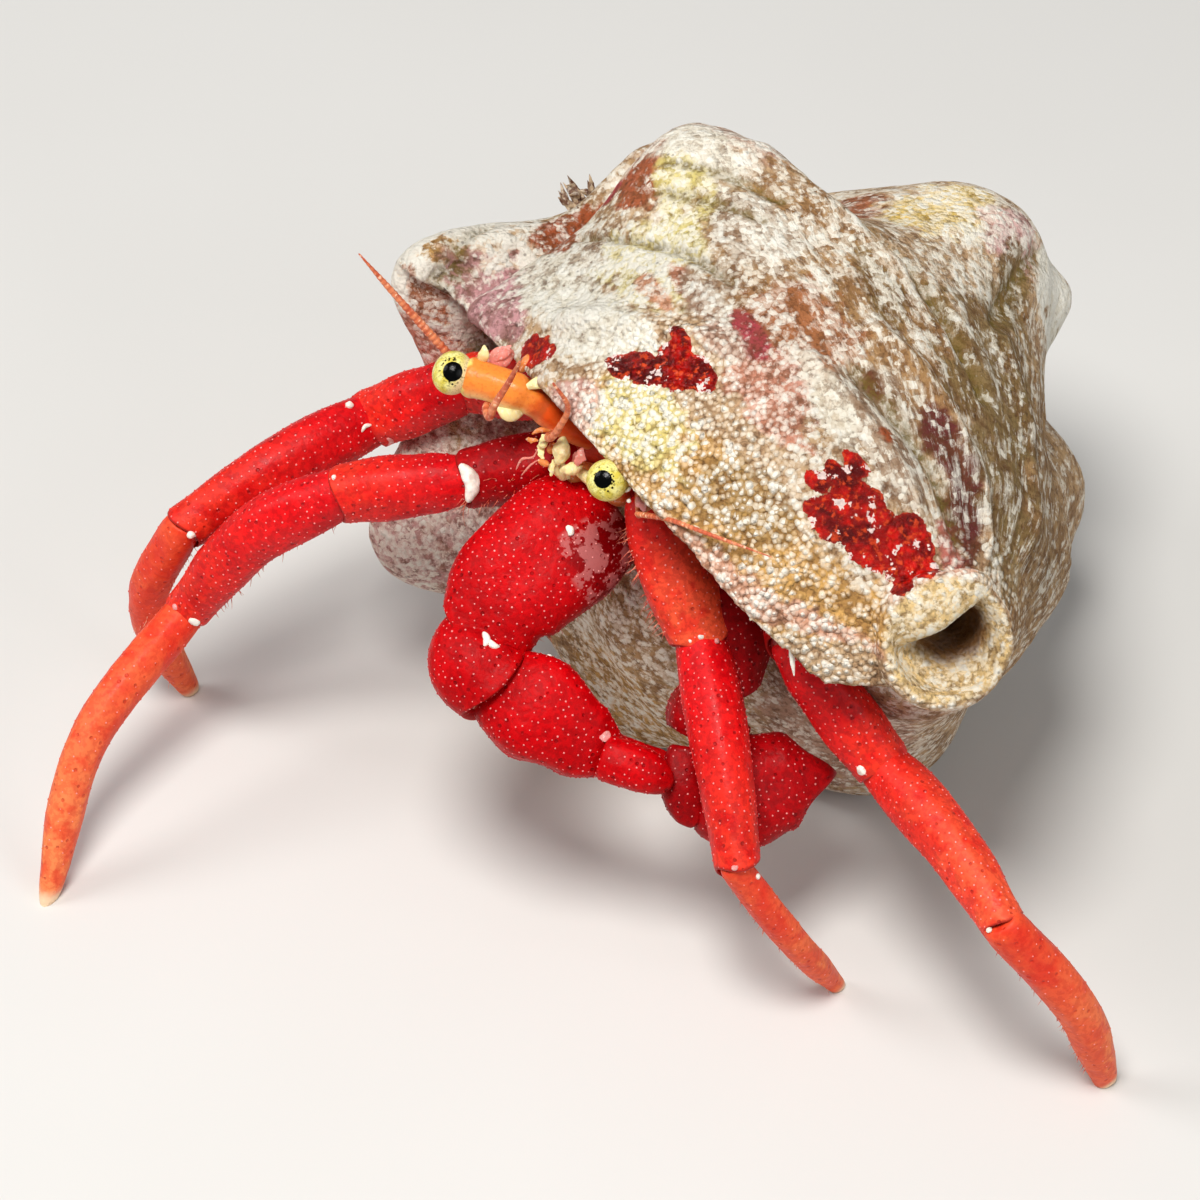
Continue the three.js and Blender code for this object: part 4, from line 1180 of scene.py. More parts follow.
def eyestalk_material(side):
    n = Nodes(f"eyestalk {side}", Specular_IOR_Level=0.35, Subsurface_Weight=0.25, Subsurface_Scale=0.0006)
    mottle, fine = n.noise(0.5, 4), n.noise(0.16, 3)
    share = n.plus(n.attribute("share"), n.times(n.minus(mottle, 0.5), 0.12))
    colour = n.mix(n.step(share, 0.5, 0.58), srgb(232, 86, 18), srgb(242, 140, 54))
    underside = n.times(n.step(n.attribute("under"), -0.2, 0.6), n.step(share, 0.45, 0.6, 0.35, 1.0))
    colour = n.mix(underside, colour, srgb(244, 214, 142))
    colour = n.mix(n.times(n.step(fine, 0.52, 0.66), 0.35), colour, srgb(208, 78, 22))
    waist = n.times(n.step(share, 0.44, 0.48), n.step(share, 0.54, 0.50))
    colour = n.mix(n.times(waist, 0.6), colour, srgb(176, 84, 34))
    colour = n.mix(n.step(share, 0.955, 0.985), colour, srgb(240, 216, 120))
    n.colour(colour)
    n.rough(n.step(mottle, 0.3, 0.7, 0.3, 0.45))
    n.bump((mottle, 0.04), (fine, 0.02))
    return n.material



# ---- Feelers ----

# Each feeler: its points, half-widths, rings in its length, and the solid that it replaces.
# The antennules' first three points and two of the right antenna's are typed from a scratch
# script's readings.
FEELERS = {
    "antenna_right": (
        [(-8.9, -8.0, 20.0), (-11.3, -8.4, 22.7), (-13.0, -8.7, 24.7)], [0.2, 0.17, 0.13, 0.05], 26,
        "right_antenna_flagellum",
    ),
    "antenna_left": (
        [(1.9, -12.3, 20.4), (3.9, -13.1, 21.7), (5.6, -13.4, 22.1), (8.5, -13.2, 22)],
        [0.13, 0.1, 0.08, 0.03],
        34, "left_antenna_flagellum",
    ),
    "antenna_stalk_right": (
        [(-3.6, -6.9, 19.4), (-6.3, -7.6, 19.3), (-9.0, -8.0, 20.0)], [0.75, 0.72, 0.6, 0.3], 3,
        "right_antenna_stalk",
    ),
    "antenna_stalk_left": (
        [(0.2, -7.6, 17.4), (1.2, -9.9, 19.4), (1.9, -12.1, 20.1)], [0.7, 0.62, 0.5, 0.2], 3,
        "left_antenna_stalk",
    ),
    "antennule_right": (
        [(-3.23, -8.25, 19.20), (-5.35, -8.85, 20.46), (-6.06, -10.30, 20.97)]
        + [(-5.2, -11.6, 21.7), (-4.9, -11.7, 22.6), (-4.4, -11.5, 23.8), (-3.7, -11.7, 25.5)],
        [0.2, 0.16, 0.13, 0.15, 0.16, 0.13, 0.09], 22, "right_antennule",
    ),
    "antennule_left": (
        [(-2.53, -8.10, 18.85), (-3.57, -8.64, 19.47), (-3.29, -10.28, 20.45)]
        + [(-2.8, -10.8, 21.1), (-2.4, -10.9, 21.9), (-2.0, -10.9, 23.2), (-2.5, -11.2, 24.5)],
        [0.2, 0.19, 0.17, 0.15, 0.12, 0.08], 20, "left_antennule",
    ),
}  # fmt: skip


def ringed(count, depth):
    """A shape with that many rounded rings along it."""

    def shape(share, angle):
        return 1 + depth * (np.abs(np.sin(np.pi * count * share)) - 0.5) + 0 * angle

    return shape


def feeler_material():
    n = Nodes("feeler", Specular_IOR_Level=0.4, Subsurface_Weight=0.2, Subsurface_Scale=0.0004)
    mottle, fine = n.noise(0.6, 4), n.noise(0.15, 3)
    colour = n.mix(n.step(mottle, 0.38, 0.62), srgb(198, 92, 56), srgb(226, 138, 92))
    band = n.step(n.attribute("ring"), 0.75, 0.35)
    colour = n.mix(n.times(band, 0.45), colour, srgb(162, 62, 34))
    speck = n.times(n.step(n.cells(0.3), 0.30, 0.18), n.step(n.attribute("ring"), 0.5, 0.9))
    colour = n.mix(speck, colour, srgb(246, 196, 160))
    colour = n.mix(n.times(n.step(fine, 0.55, 0.7), 0.5), colour, srgb(238, 176, 150))
    n.colour(colour)
    n.rough(n.step(mottle, 0.3, 0.7, 0.35, 0.5))
    n.bump((fine, 0.02))
    return n.material


def build_feelers():
    material = feeler_material()
    for name, (points, widths, count, node) in FEELERS.items():
        depth = 0.12 if count < 5 else 0.06 if "antennule" in name else 0.2
        body = sweep(
            points, widths, blunt=0.25, sides=20, rings=max(6 * count, 60), shape=ringed(count, depth)
        )
        thing = new_mesh(name, body.points, facing_out(body), [material])
        store(thing, "ring", np.abs(np.sin(np.pi * count * body.share)))
        put(thing, "feeler", node)


# ---- Small bodies: mouthparts, nodules, grains ----


class Pile:
    """Many small bodies gathered into one mesh, each vertex with a number for its material."""

    def __init__(self):
        self.points, self.faces, self.values, self.count = [], [], [], 0

    def add(self, points, faces, value=0.0):
        self.points.append(points)
        self.faces += [f + self.count for f in faces]
        self.values.append(np.full(len(points), float(value)) if np.isscalar(value) else value)
        self.count += len(points)

    def make(self, name, materials):
        thing = new_mesh(name, np.vstack(self.points), self.faces, materials)
        store(thing, "kind", np.concatenate(self.values))
        return thing


def lump(
    pile, points, widths, heights=None, up=CLAW_FACING, rough=0.12, grain=0.3, seed=0, kind=0.0, blunt=0.8,
    fine=1.0,
):
    """A rough rounded body along a line, added to a pile."""
    length = np.linalg.norm(np.array(points[-1]) - np.array(points[0])) + 2 * max(widths)
    rings = int(np.clip(length / 0.05 * fine, 10, 70))
    sides = int(np.clip(2 * np.pi * max(widths) / 0.05 * fine, 10, 60))
    body = sweep(points, widths, heights, up, blunt=blunt, sides=sides, rings=rings)
    centre = body.points.mean(axis=0)
    swell = 1 + rough * noise(body.points + 7.3 * seed, grain, 3, seed)
    middle, _, _ = along_curve(points, body.share)
    skin = middle + (body.points - middle) * swell[:, None]
    skin += unit(skin - centre + 1e-9) * (
        0.25 * rough * grain * noise(body.points, 0.4 * grain, 2, seed + 3)
    )[:, None]
    pile.add(skin, facing_out(body), kind)


def flake(pile, middle, toward, facing, length, width, thick=0.035, curl=0.3, seed=0, kind=0.0):
    """A thin curled leaf or scale with a ragged edge."""
    middle, toward = np.array(middle, float), unit(np.array(toward, float))
    facing = np.array(facing, float)
    facing = unit(facing - toward * (facing @ toward))
    half = toward * length / 2
    points = [middle - half, middle + facing * curl * length / 2, middle + half]

    def ragged(share, angle):
        return 1 + 0.28 * np.sin(9 * share + 2.1 * seed) * np.cos(angle) + 0.12 * np.sin(23 * share + seed)

    body = sweep(
        points, [0.3 * width, 0.5 * width, 0.3 * width], [thick] * 3, facing, 0.6, 24, 20, shape=ragged
    )
    pile.add(body.points, facing_out(body), kind)


def pale_material(name, colours, slot_bump=0.05, subsurface=0.15, roughness=(0.35, 0.6)):
    """A pale hard body whose colour goes from one to the next by each body's own number."""
    n = Nodes(name, Specular_IOR_Level=0.45, Subsurface_Weight=subsurface, Subsurface_Scale=0.0005)
    mottle, fine, kind = n.noise(0.45, 4), n.noise(0.12, 3), n.attribute("kind")
    colour = colours[0]
    for index, other in enumerate(colours[1:]):
        colour = n.mix(n.step(kind, index + 0.3, index + 0.7), colour, other)
    colour = n.mix(n.times(n.step(mottle, 0.5, 0.34), 0.35), colour, srgb(150, 96, 66))
    colour = n.mix(n.times(n.step(fine, 0.55, 0.68), 0.4), colour, srgb(252, 250, 240))
    n.colour(colour)
    n.rough(n.step(mottle, 0.3, 0.7, *roughness))
    n.bump((mottle, slot_bump), (fine, 0.02))
    return n.material


# Mouthparts: points and half-widths of lumps; 0 is cream, 1 orange and 2 pink.
# The places are typed from a scratch script's readings, not worked out from the frame.
MOUTH_LUMPS = (
    ([(-3.42, -10.63, 20.07), (-3.40, -10.26, 20.38)], [0.2, 0.16], 0),
    ([(-2.55, -10.85, 19.73), (-2.51, -10.51, 20.29), (-2.74, -10.05, 20.52)], [0.22, 0.34, 0.26], 0),
    ([(-3.23, -10.40, 19.75), (-3.03, -10.11, 20.04)], [0.18, 0.22], 1),
    ([(-3.31, -11.05, 19.80), (-2.86, -10.95, 19.66)], [0.11, 0.15], 1),
    ([(-2.36, -10.94, 19.56), (-1.94, -10.79, 19.75), (-1.69, -10.35, 19.73)], [0.2, 0.26, 0.18], 0),
    ([(-3.93, -10.47, 20.46), (-3.71, -10.21, 20.58), (-3.35, -9.95, 20.48)], [0.08, 0.1, 0.08], 1),
    (
        [(-4.31, -11.11, 18.82), (-4.14, -10.91, 19.34), (-3.79, -10.64, 19.40), (-3.69, -10.33, 19.75)],
        [0.05, 0.06, 0.05, 0.05], 2,
    ),
    ([(-4.05, -11.16, 18.65), (-3.75, -10.87, 19.17), (-3.42, -10.63, 19.51)], [0.03, 0.04, 0.03], 2),
    ([(-1.35, -9.74, 20.37), (-1.16, -9.66, 20.34)], [0.13, 0.1], 0),
)
# Plates and lumps about the eyestalks: points, half-widths, heights; 0 is cream, 1 orange, 2 pink.
# The places are typed from a scratch script's readings, not worked out from the frame.
HEAD_PLATES = (
    (
        [(-5.73, -10.23, 21.01), (-5.09, -10.29, 20.92), (-4.68, -9.81, 20.84)], [0.2, 0.34, 0.26],
        [0.12, 0.2, 0.14], 0,
    ),
    (
        [(-4.80, -9.67, 21.87), (-4.31, -9.16, 22.07), (-3.94, -8.53, 22.01)], [0.16, 0.26, 0.14],
        [0.08, 0.12, 0.06], 0,
    ),
    (
        [(-6.86, -9.47, 22.23), (-6.73, -9.44, 22.75), (-6.80, -9.31, 23.05)], [0.26, 0.24, 0.12],
        [0.15, 0.15, 0.08], 0,
    ),
    (
        [(-6.79, -9.06, 21.71), (-6.34, -8.63, 22.13), (-6.13, -8.13, 22.04)], [0.3, 0.44, 0.32],
        [0.12, 0.16, 0.12], 2,
    ),
    (
        [(-6.56, -8.96, 21.96), (-6.25, -8.69, 22.32), (-6.09, -8.33, 22.27)], [0.12, 0.2, 0.12],
        [0.1, 0.14, 0.1], 2,
    ),
    (
        [(-5.63, -8.50, 21.47), (-5.46, -8.15, 21.82), (-5.51, -7.60, 21.90)], [0.2, 0.26, 0.18],
        [0.12, 0.16, 0.1], 1,
    ),
    ([(-4.66, -8.16, 21.98), (-4.11, -8.16, 21.14)], [0.08, 0.04], [0.07, 0.04], 0),
    (
        [(-3.70, -8.56, 20.45), (-3.15, -8.71, 20.33), (-2.87, -8.79, 19.70)], [0.2, 0.32, 0.26],
        [0.2, 0.3, 0.24], 1,
    ),
)


# Typed from a scratch script's readings too, as are the scales' places below.
JAW_TIPS = {"right": (-2.92, -10.53, 19.34), "left": (-2.17, -10.23, 19.23)}


def build_mouth():
    """The jaw limbs, with the scales and lumps about them."""
    colours = (srgb(246, 226, 160), srgb(226, 132, 62), srgb(226, 132, 118))
    material = pale_material("mouthpart", colours)
    pile = Pile()
    for index, (points, widths, kind) in enumerate(MOUTH_LUMPS):
        lump(pile, [np.array(p) for p in points], widths, rough=0.35, grain=0.35, seed=index, kind=kind)
    flake(pile, (-1.72, -10.45, 20.23), (0, 0.6, 0.8), CLAW_FACING, 0.8, 0.42, 0.05, seed=3, kind=2)
    flake(pile, (-3.31, -10.49, 20.56), (0.6, 0.7, 0.3), CLAW_FACING, 0.5, 0.3, seed=5, kind=0)
    flake(pile, (-3.47, -10.54, 19.75), (0.5, -0.5, -0.2), CLAW_FACING, 0.75, 0.3, seed=11, kind=0)
    flake(pile, (-2.83, -10.77, 19.37), (0.2, -0.6, -0.5), CLAW_FACING, 0.7, 0.26, seed=12, kind=0)
    flake(pile, (-2.39, -10.42, 19.17), (0.5, -0.3, -0.4), CLAW_FACING, 0.8, 0.3, seed=13, kind=0)
    flake(pile, (-2.26, -9.69, 19.46), (0.3, 0.6, 0.5), CLAW_FACING, 0.7, 0.28, seed=14, kind=2)
    flake(pile, (-3.95, -10.43, 20.09), (0.6, 0.1, 0.1), CLAW_FACING, 0.55, 0.22, seed=15, kind=1)
    put(pile.make("mouth_scales", [material]), "mouthpart")

    for side in ("right", "left"):
        pile = Pile()
        outer = -1 if side == "right" else 1
        points = [(-1.35 + outer * 0.65, -8.6, 17.4), (-1.35 + outer * 1.1, -10.2, 18.6), JAW_TIPS[side]]
        lump(pile, points[:2], [0.6, 0.62, 0.45], rough=0.1, grain=0.8, seed=2, kind=1, blunt=0.4)
        lump(pile, points[1:], [0.36, 0.3, 0.2], rough=0.2, grain=0.5, seed=4, kind=0, blunt=0.5)
        put(pile.make(f"jaw_limb_{side}", [material]), "mouthpart", f"{side}_maxilliped")

    pile = Pile()
    for index, (points, widths, heights, kind) in enumerate(HEAD_PLATES):
        lump(
            pile, [np.array(p) for p in points], widths, heights, rough=0.12, grain=0.6, seed=index + 20,
            kind=kind,
        )
    flake(pile, (-6.46, -8.42, 22.23), (0.7, 0.5, 0.5), CLAW_FACING, 0.8, 0.3, 0.03, seed=8, kind=2)
    put(pile.make("head_plates", [material]), "mouthpart")


def build_carapace():
    """The front shield between the eyestalks and the shell's lip, and the folded last legs."""
    material = cuticle_material(
        "shield", srgb(110, 14, 10), srgb(176, 24, 16), srgb(206, 60, 34), srgb(222, 120, 74), (0.0, 0.7)
    )
    points = [(-1.6, -8.6, 18.2), (-1.7, -6.6, 19.4), (-0.6, -3.4, 20.9)]
    body = sweep(points, [1.5, 3.0, 3.2, 2.6], [1.0, 1.9, 2.2, 1.9], sides=90, rings=80)
    thing = new_mesh("front_shield", body.points, facing_out(body), [material])
    skin = body.points + normals_of(thing) * (0.12 * noise(body.points, 1.4, 3, seed=41))[:, None]
    set_points(thing, skin)
    store(thing, "share", body.share)
    store(thing, "painted_highlight_side", np.sin(body.angle))
    store(thing, "dot", np.zeros(len(body.points)))
    put(thing, "scarlet_cuticle", "carapace")

    for side, outward in (("right", -1), ("left", 1)):
        points = [
            in_shell(3 + a * outward, b, c)
            for a, b, c in ((2.2, 7.6, 0.2), (4.4, 8.2, -1.5), (4.8, 7.0, -4.0))
        ]
        body = sweep(points, [0.8, 0.75, 0.4], sides=40, rings=50, shape=ringed(4, 0.12))
        thing = new_mesh(f"folded_leg_{side}", body.points, facing_out(body), [material])
        store(thing, "share", body.share)
        store(thing, "painted_highlight_side", np.sin(body.angle))
        store(thing, "dot", np.zeros(len(body.points)))
        put(thing, "scarlet_cuticle", f"{side}_hind_leg")


# ---- Soft skin ----


def build_soft_skin():
    """The coiled abdomen and the skin that shows between the hard articles."""
    n = Nodes("soft skin", Specular_IOR_Level=0.5, Subsurface_Weight=0.3, Subsurface_Scale=0.0008)
    mottle, fine = n.noise(0.8, 4), n.noise(0.2, 3)
    colour = n.mix(n.step(mottle, 0.38, 0.62), srgb(140, 22, 16), srgb(206, 84, 54))
    colour = n.mix(n.times(n.step(fine, 0.54, 0.66), 0.4), colour, srgb(232, 160, 128))
    n.colour(colour)
    n.rough(n.step(mottle, 0.3, 0.7, 0.35, 0.5))
    n.bump((mottle, 0.08), (fine, 0.03))

    pile = Pile()
    coil = [round_shell(3 - 1.4 * k, -26 - 34 * k, 8.4 - 0.45 * k) for k in range(5)]
    body = sweep(
        coil, [2.5, 3.3, 2.9, 2.1, 1.1], [1.9, 2.5, 2.1, 1.6, 0.9], SHELL_AXIS, sides=80, rings=120,
        shape=ringed(9, 0.05),
    )  # fmt: skip
    pile.add(body.points, facing_out(body))
    for name, (points, widths, heights, up) in LIMBS.items():
        if name.endswith(("dactyl", "finger")) or name == "left_claw_palm":
            continue
        middle, tangent, _ = along_curve(points, np.array([0.96, 1.0]))
        girth = 0.78 * min(widths[-1], heights[-1])
        ends = [middle[0] - 0.4 * tangent[0], middle[1] + 0.12 * tangent[1]]
        body = sweep(
            ends, [girth, girth, 0.7 * girth], up=up, blunt=0.6, sides=36, rings=24, shape=ringed(3, 0.06)
        )
        pile.add(body.points, facing_out(body))
    put(pile.make("soft_skin", [n.material]), "soft_skin", "abdomen")


# ---- Nodules and grains on the limbs ----


def surface(name, share, degrees):
    """A place on an article's skin, the way out of it there, and the way along it."""
    points, widths, heights, up = LIMBS[name]
    middle, tangent, _ = along_curve(points, np.array([share]))
    side = unit(np.cross(up, tangent))[0]
    top = np.cross(tangent[0], side)
    angle = math.radians(degrees)
    width, height = (float(value_at(sizes, np.array([share]))[0]) for sizes in (widths, heights))
    place = middle[0] + width * math.cos(angle) * side + height * math.sin(angle) * top
    out = unit(math.cos(angle) / width * side + math.sin(angle) / height * top)
    return place, out, tangent[0]


# White and pink nodules: article, share along it, degrees round it, half-length, half-width,
# height, how far its length is turned from along the limb, and 0 for white or 1 for pink.
# The share and degrees of at least seven rows are typed from a scratch script's readings.
NODULES = (
    ("right_rear_leg_propodus", 0.17, 93, 0.26, 0.20, 0.16, 30, 0),
    ("right_rear_leg_propodus", 0.15, 33, 0.45, 0.10, 0.08, 10, 0),
    ("right_rear_leg_carpus", 0.87, 336, 0.55, 0.12, 0.05, 60, 1),
    ("right_rear_leg_propodus", 0.97, 21, 0.24, 0.20, 0.15, 40, 0),
    ("right_front_leg_merus", 0.985, 34, 1.35, 0.34, 0.30, 90, 0),
    ("right_front_leg_carpus", 0.99, 75, 0.12, 0.12, 0.10, 0, 0),
    ("right_front_leg_propodus", 0.96, 348, 0.42, 0.20, 0.10, 70, 0),
    ("right_front_leg_propodus", 0.95, 45, 0.20, 0.14, 0.08, 60, 1),
    ("right_claw_merus", 0.32, 96, 0.36, 0.16, 0.10, 70, 0),
    ("right_claw_merus", 0.95, 128, 0.26, 0.18, 0.14, 60, 0),
    ("right_claw_carpus", 0.38, 84, 0.52, 0.15, 0.16, 10, 0),
    ("right_claw_carpus", 0.43, 68, 0.42, 0.15, 0.16, 60, 0),
    ("right_claw_carpus", 0.89, 32, 0.12, 0.09, 0.08, 0, 0),
    ("right_claw_palm", 0.17, 14, 0.16, 0.08, 0.12, 20, 0),
    ("right_claw_palm", 0.13, 28, 0.12, 0.08, 0.10, 70, 0),
    ("right_claw_palm", 0.56, 64, 0.40, 0.22, 0.03, 40, 1),
    ("left_front_leg_propodus", 0.10, 125, 0.18, 0.10, 0.10, 10, 0),
    ("left_front_leg_propodus", 0.09, 99, 0.22, 0.12, 0.12, 70, 0),
    ("left_front_leg_propodus", 0.12, 70, 0.16, 0.12, 0.10, 0, 1),
    ("left_front_leg_propodus", 0.985, 105, 0.22, 0.12, 0.10, 90, 1),
    ("left_front_leg_dactyl", 0.10, 110, 0.20, 0.12, 0.08, 60, 0),
    ("left_rear_leg_carpus", 0.89, 168, 0.34, 0.20, 0.16, 20, 0),
    ("left_rear_leg_propodus", 0.07, 95, 0.32, 0.14, 0.12, 80, 0),
    ("left_rear_leg_propodus", 0.98, 153, 0.16, 0.14, 0.12, 0, 0),
    ("left_claw_palm", 0.46, 24, 0.13, 0.09, 0.10, 0, 0),
    ("left_claw_finger", 0.30, 300, 0.40, 0.12, 0.10, 60, 1),
    ("left_claw_finger", 0.75, 320, 0.12, 0.10, 0.12, 0, 0),
    ("left_claw_carpus", 0.82, 105, 0.40, 0.10, 0.16, 60, 2),
)
# Loose grains and slivers on the face and by the lip: ends, half-width, height and kind.
# The two-decimal places are typed from a scratch script's readings.
SLIVERS = (
    ((1.23, -11.83, 21.09), (1.37, -11.84, 21.01), 0.16, 0.16, 0),
    ((1.32, -12.00, 20.62), (1.49, -11.97, 20.56), 0.1, 0.1, 0),
    ((9.64, -13.7, 18.52), (10.07, -14.07, 16.99), 0.11, 0.08, 0),
    ((8.6, -11.9, 16.9), (8.3, -12.1, 16.5), 0.07, 0.06, 0),
)


def build_nodules():
    material = pale_material(
        "nodules", (srgb(246, 238, 226), srgb(232, 150, 146), srgb(206, 176, 176)), subsurface=0.1
    )
    pile = Pile()
    for index, (name, share, degrees, length, width, height, turn, kind) in enumerate(NODULES):
        place, out, along = surface(name, share, degrees)
        across = np.cross(out, along)
        way = along * math.cos(math.radians(turn)) + across * math.sin(math.radians(turn))
        place = place + out * 0.15 * height
        bend = np.cross(way, out) * 0.25 * length * (1 if index % 2 else -1)
        points = [place - way * length * 0.6, place + bend, place + way * length * 0.6]
        lump(pile, points, [width * 0.8, width, width * 0.7], [height] * 3, out, 0.3, 0.4, index, kind, 0.7)
    for index, (start, end, width, height, kind) in enumerate(SLIVERS):
        ends = [np.array(start), np.array(end)]
        lump(pile, ends, [width, width, 0.6 * width], [height] * 3, rough=0.25, seed=index + 60, kind=kind)
    flake(pile, (1.9, -11.9, 20.6), (0.6, 0, -0.8), (0.35, -0.6, 0.7), 0.7, 0.4, 0.03, seed=4, kind=1)
    put(pile.make("nodules", [material]), "mouthpart")


# ---- Bristles and the tuft on the shell ----

# Where bristles grow: article, share along from and to, degrees round it from and to, how many,
# how long, and how much they lie along the limb.
BRISTLES = (
    ("left_front_leg_carpus", 0.15, 0.9, 175, 215, 34, 0.42, 0.5),
    ("left_front_leg_carpus", 0.1, 0.9, 250, 320, 18, 0.3, 0.8),
    ("left_front_leg_propodus", 0.05, 0.95, 240, 300, 26, 0.3, 0.9),
    ("right_front_leg_carpus", 0.02, 0.12, 300, 360, 10, 0.7, 0.6),
    ("right_front_leg_merus", 0.4, 0.95, 330, 400, 26, 0.35, 0.7),
    ("right_front_leg_propodus", 0.05, 0.95, 240, 300, 34, 0.3, 0.9),
    ("right_rear_leg_propodus", 0.05, 0.95, 240, 300, 34, 0.3, 0.9),
    ("left_rear_leg_carpus", 0.1, 0.95, 240, 300, 20, 0.3, 0.9),
    ("left_rear_leg_propodus", 0.05, 0.95, 240, 300, 34, 0.3, 0.9),
    ("right_claw_merus", 0.1, 0.9, 330, 380, 24, 0.28, 0.5),
    ("left_claw_merus", 0.1, 0.95, 120, 200, 18, 0.28, 0.5),
    ("right_front_leg_dactyl", 0.1, 0.9, 240, 300, 40, 0.26, 1.2),
    ("right_rear_leg_dactyl", 0.1, 0.9, 240, 300, 40, 0.26, 1.2),
    ("left_front_leg_dactyl", 0.1, 0.9, 240, 300, 36, 0.24, 1.2),
    ("left_rear_leg_dactyl", 0.1, 0.9, 240, 300, 40, 0.26, 1.2),
)
BRISTLE_THICK, BRISTLE_SIDES, BRISTLE_RINGS = 0.022, 5, 5
BAKE_PATCH = 0.003  # how wide each tuft's patch is on the map


def bristle(root, out, length, thick, bend):
    """Points and faces of one thin curved spine."""
    share = np.linspace(0, 1, BRISTLE_RINGS)[:, None]
    middle = root + out * length * share + bend * length * share**2
    side = unit(np.cross(out, [0.31, 0.52, 0.79]))
    other = np.cross(out, side)
    angles = 2 * np.pi * np.arange(BRISTLE_SIDES) / BRISTLE_SIDES
    around = np.cos(angles)[None, :, None] * side + np.sin(angles)[None, :, None] * other
    rings = middle[:, None] + around * (thick * (1 - 0.85 * share))[:, None]
    points = np.vstack([root[None] - out * 0.03, rings.reshape(-1, 3), middle[-1:] + out * thick])
    k = np.arange(BRISTLE_SIDES)
    after = (k + 1) % BRISTLE_SIDES
    row = 1 + np.arange(BRISTLE_RINGS - 1)[:, None] * BRISTLE_SIDES
    quads = np.stack([row + k, row + after, row + BRISTLE_SIDES + after, row + BRISTLE_SIDES + k], -1)
    last = 1 + (BRISTLE_RINGS - 1) * BRISTLE_SIDES
    caps = [
        np.stack([0 * k, 1 + after, 1 + k], -1),
        np.stack([0 * k + len(points) - 1, last + k, last + after], -1),
    ]
    return points, [quads.reshape(-1, 4), *caps]


def build_bristles():
    chance = np.random.default_rng(77)
    pile, roots = Pile(), []
    names = sorted(LIMBS)
    for name, low, high, turn, turn_to, count, length, lean in BRISTLES:
        for _ in range(count):
            share, degrees = chance.uniform(low, high), chance.uniform(turn, turn_to)
            place, out, along = surface(name, share, degrees)
            way = unit(out + lean * along + chance.normal(0, 0.22, 3))
            long = length * chance.uniform(0.6, 1.3)
            points, faces = bristle(place - 0.02 * out, way, long, BRISTLE_THICK, chance.normal(0, 0.18, 3))
            if points[:, 2].min() > 0.05:
                pile.add(points, faces, chance.uniform(0, 1))
                roots.append(((names.index(name) + share) / len(names), degrees % 360 / 360, len(points)))
    n = Nodes("bristle", Specular_IOR_Level=0.4)
    colour = n.mix(n.attribute("kind"), srgb(196, 40, 22), srgb(232, 128, 92))
    colour = n.mix(n.step(n.noise(0.2, 3), 0.45, 0.7), colour, srgb(240, 176, 150))
    n.colour(colour)
    n.rough(n.step(n.noise(0.3, 2), 0.3, 0.7, 0.4, 0.55))
    n.bump((n.noise(0.08, 2), 0.006))
    thing = pile.make("bristles", [n.material])
    bake_map(thing, roots)
    put(thing, "scarlet_cuticle")


def bake_map(thing, roots):
    """Each tuft is a small patch at its root's place on an unwrap of what it grows from."""
    points, place, start = points_of(thing), [], 0
    for u, v, count in roots:
        own = points[start : start + count, :2]
        start += count
        within = (own - own.min(axis=0)) / np.ptp(own, axis=0).max()
        place.append((u, v) + (within - 0.5) * BAKE_PATCH)
    place = np.concatenate(place)
    corner = np.empty(len(thing.data.loops), np.int32)
    thing.data.loops.foreach_get("vertex_index", corner)
    layer = thing.data.uv_layers.new(name="OFBake")
    layer.data.foreach_set("uv", np.clip(place, 0, 1)[corner].astype(np.float32).ravel())


def build_shell_tuft():
    """The stiff tuft of growth in the dip behind the crown, and the flakes about it."""
    chance = np.random.default_rng(5)
    pile, roots = Pile(), []
    root, facing = np.array([-8.7, 2.1, 21.0]), unit(np.array([-0.52, -0.17, 0.84]))
    for index in range(15):
        way = unit(facing + chance.normal(0, 0.42, 3))
        foot = root + chance.normal(0, 0.35, 3) * (1, 1, 0.3)
        length = chance.uniform(0.6, 1.35)
        middle = foot + way * length * 0.55 + chance.normal(0, 0.12, 3)
        lump(pile, [foot, middle, foot + way * length], [0.16, 0.13, 0.04], rough=0.5, grain=0.3, seed=index)
        off = foot - SHELL_CENTRE
        along, bearing = off @ SHELL_AXIS, np.degrees(np.arctan2(off @ FRONT, off @ CROWN))
        share = np.interp(along, PROFILE[[0, -1], 0], (0, 1))
        roots.append((share, bearing % 360 / 360, len(pile.points[-1])))
    n = Nodes("tuft", Specular_IOR_Level=0.3)
    mottle = n.noise(0.35, 4)
    colour = n.mix(n.step(mottle, 0.4, 0.6), srgb(96, 58, 42), srgb(196, 172, 142))
    n.colour(n.mix(n.times(n.step(n.noise(0.15, 3), 0.5, 0.65), 0.5), colour, srgb(226, 214, 196)))
    n.rough(n.step(mottle, 0.3, 0.7, 0.6, 0.8))
    n.bump((mottle, 0.06))
    thing = pile.make("shell_tuft", [n.material])
    bake_map(thing, roots)
    put(thing, "snail_shell")


# ---- Studio ----

AIM = np.array([-2.87, -6.862, 8.492])  # the middle of the view
CAMERA_AZIMUTH, CAMERA_ELEVATION, CAMERA_DISTANCE = 30, 45, 250
VIEW_WIDTH, SENSOR = 50, 36


def looking(azimuth, elevation):
    """The direction from the object to a viewer: azimuth 0 is in front, elevation is above the floor."""
    a, e = math.radians(azimuth), math.radians(elevation)
    return np.array([math.sin(a) * math.cos(e), -math.cos(a) * math.cos(e), math.sin(e)])


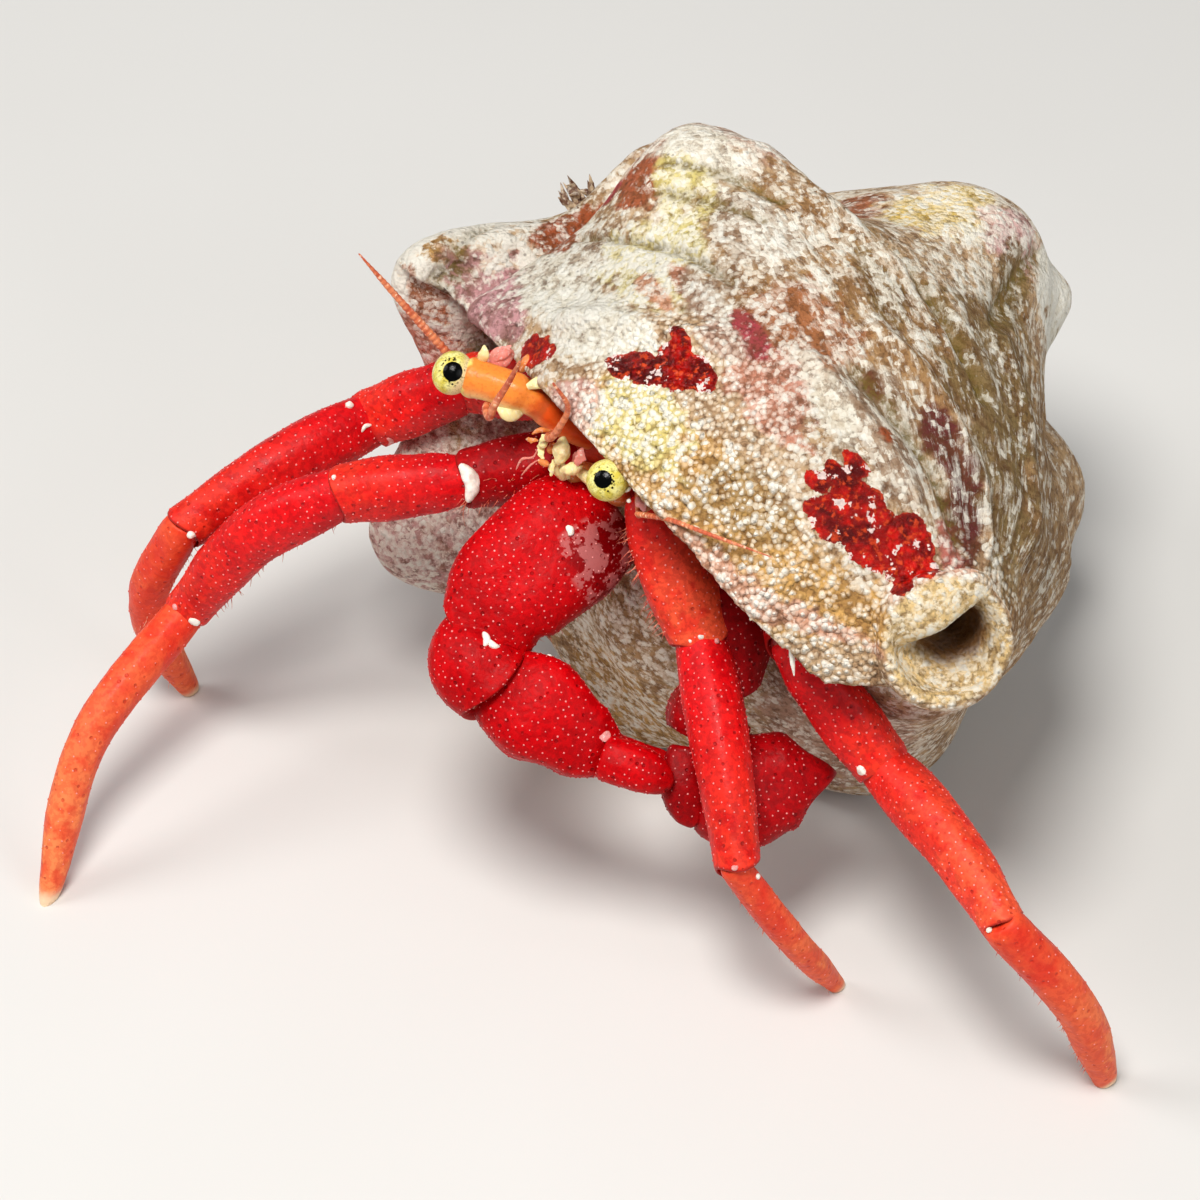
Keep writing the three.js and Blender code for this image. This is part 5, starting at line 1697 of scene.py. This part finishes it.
def set_facing(thing, place, target):
    thing.location = Vector(place)
    thing.rotation_euler = (Vector(target) - Vector(place)).to_track_quat("-Z", "Y").to_euler()


def add_camera():
    data = bpy.data.cameras.new("camera")
    data.sensor_width, data.lens = SENSOR, SENSOR * CAMERA_DISTANCE / VIEW_WIDTH
    data.clip_start, data.clip_end = 0.01, 10
    camera = bpy.data.objects.new("camera", data)
    bpy.context.scene.collection.objects.link(camera)
    target = to_frame(AIM)
    set_facing(camera, target + looking(CAMERA_AZIMUTH, CAMERA_ELEVATION) * CAMERA_DISTANCE / 1000, target)
    bpy.context.scene.camera = camera


def add_lamp(name, azimuth, elevation, distance, size, power, colour=(1, 1, 1)):
    data = bpy.data.lights.new(name, "AREA")
    data.shape, data.size, data.energy, data.color = "DISK", size / 1000, power, colour
    lamp = bpy.data.objects.new(name, data)
    bpy.context.scene.collection.objects.link(lamp)
    target = to_frame(SHELL_CENTRE)
    set_facing(lamp, target + looking(azimuth, elevation) * distance / 1000, target)


def add_studio():
    add_camera()
    add_lamp("key", 10, 68, 260, 90, 0.62, (1.0, 0.98, 0.95))
    add_lamp("fill", 75, 30, 280, 160, 0.16, (0.95, 0.97, 1.0))
    add_lamp("left", -60, 40, 280, 120, 0.24)
    world = bpy.data.worlds.new("soft room")
    world.use_nodes = True
    world.node_tree.nodes["Background"].inputs["Color"].default_value = (0.9, 0.92, 0.95, 1)
    world.node_tree.nodes["Background"].inputs["Strength"].default_value = 0.22
    bpy.context.scene.world = world
    bpy.context.scene.view_settings.view_transform = "Standard"
    reach = 600
    corners = [(x * reach, y * reach, 0) for x, y in ((-1, -1), (1, -1), (1, 1), (-1, 1))]
    floor = new_mesh("floor", corners, [np.array([[0, 1, 2, 3]])])
    set_points(floor, points_of(floor) / 1000)
    n = Nodes("pale floor", Roughness=0.7)
    n.colour(n.mix(n.noise(40, 3), srgb(214, 212, 208), srgb(222, 221, 218)))
    floor.data.materials.append(n.material)


add_studio()
dress_shell()
build_articles()
for side in EYES:
    build_eye(side)
build_feelers()
build_mouth()
build_carapace()
build_soft_skin()
build_nodules()
build_bristles()
build_shell_tuft()
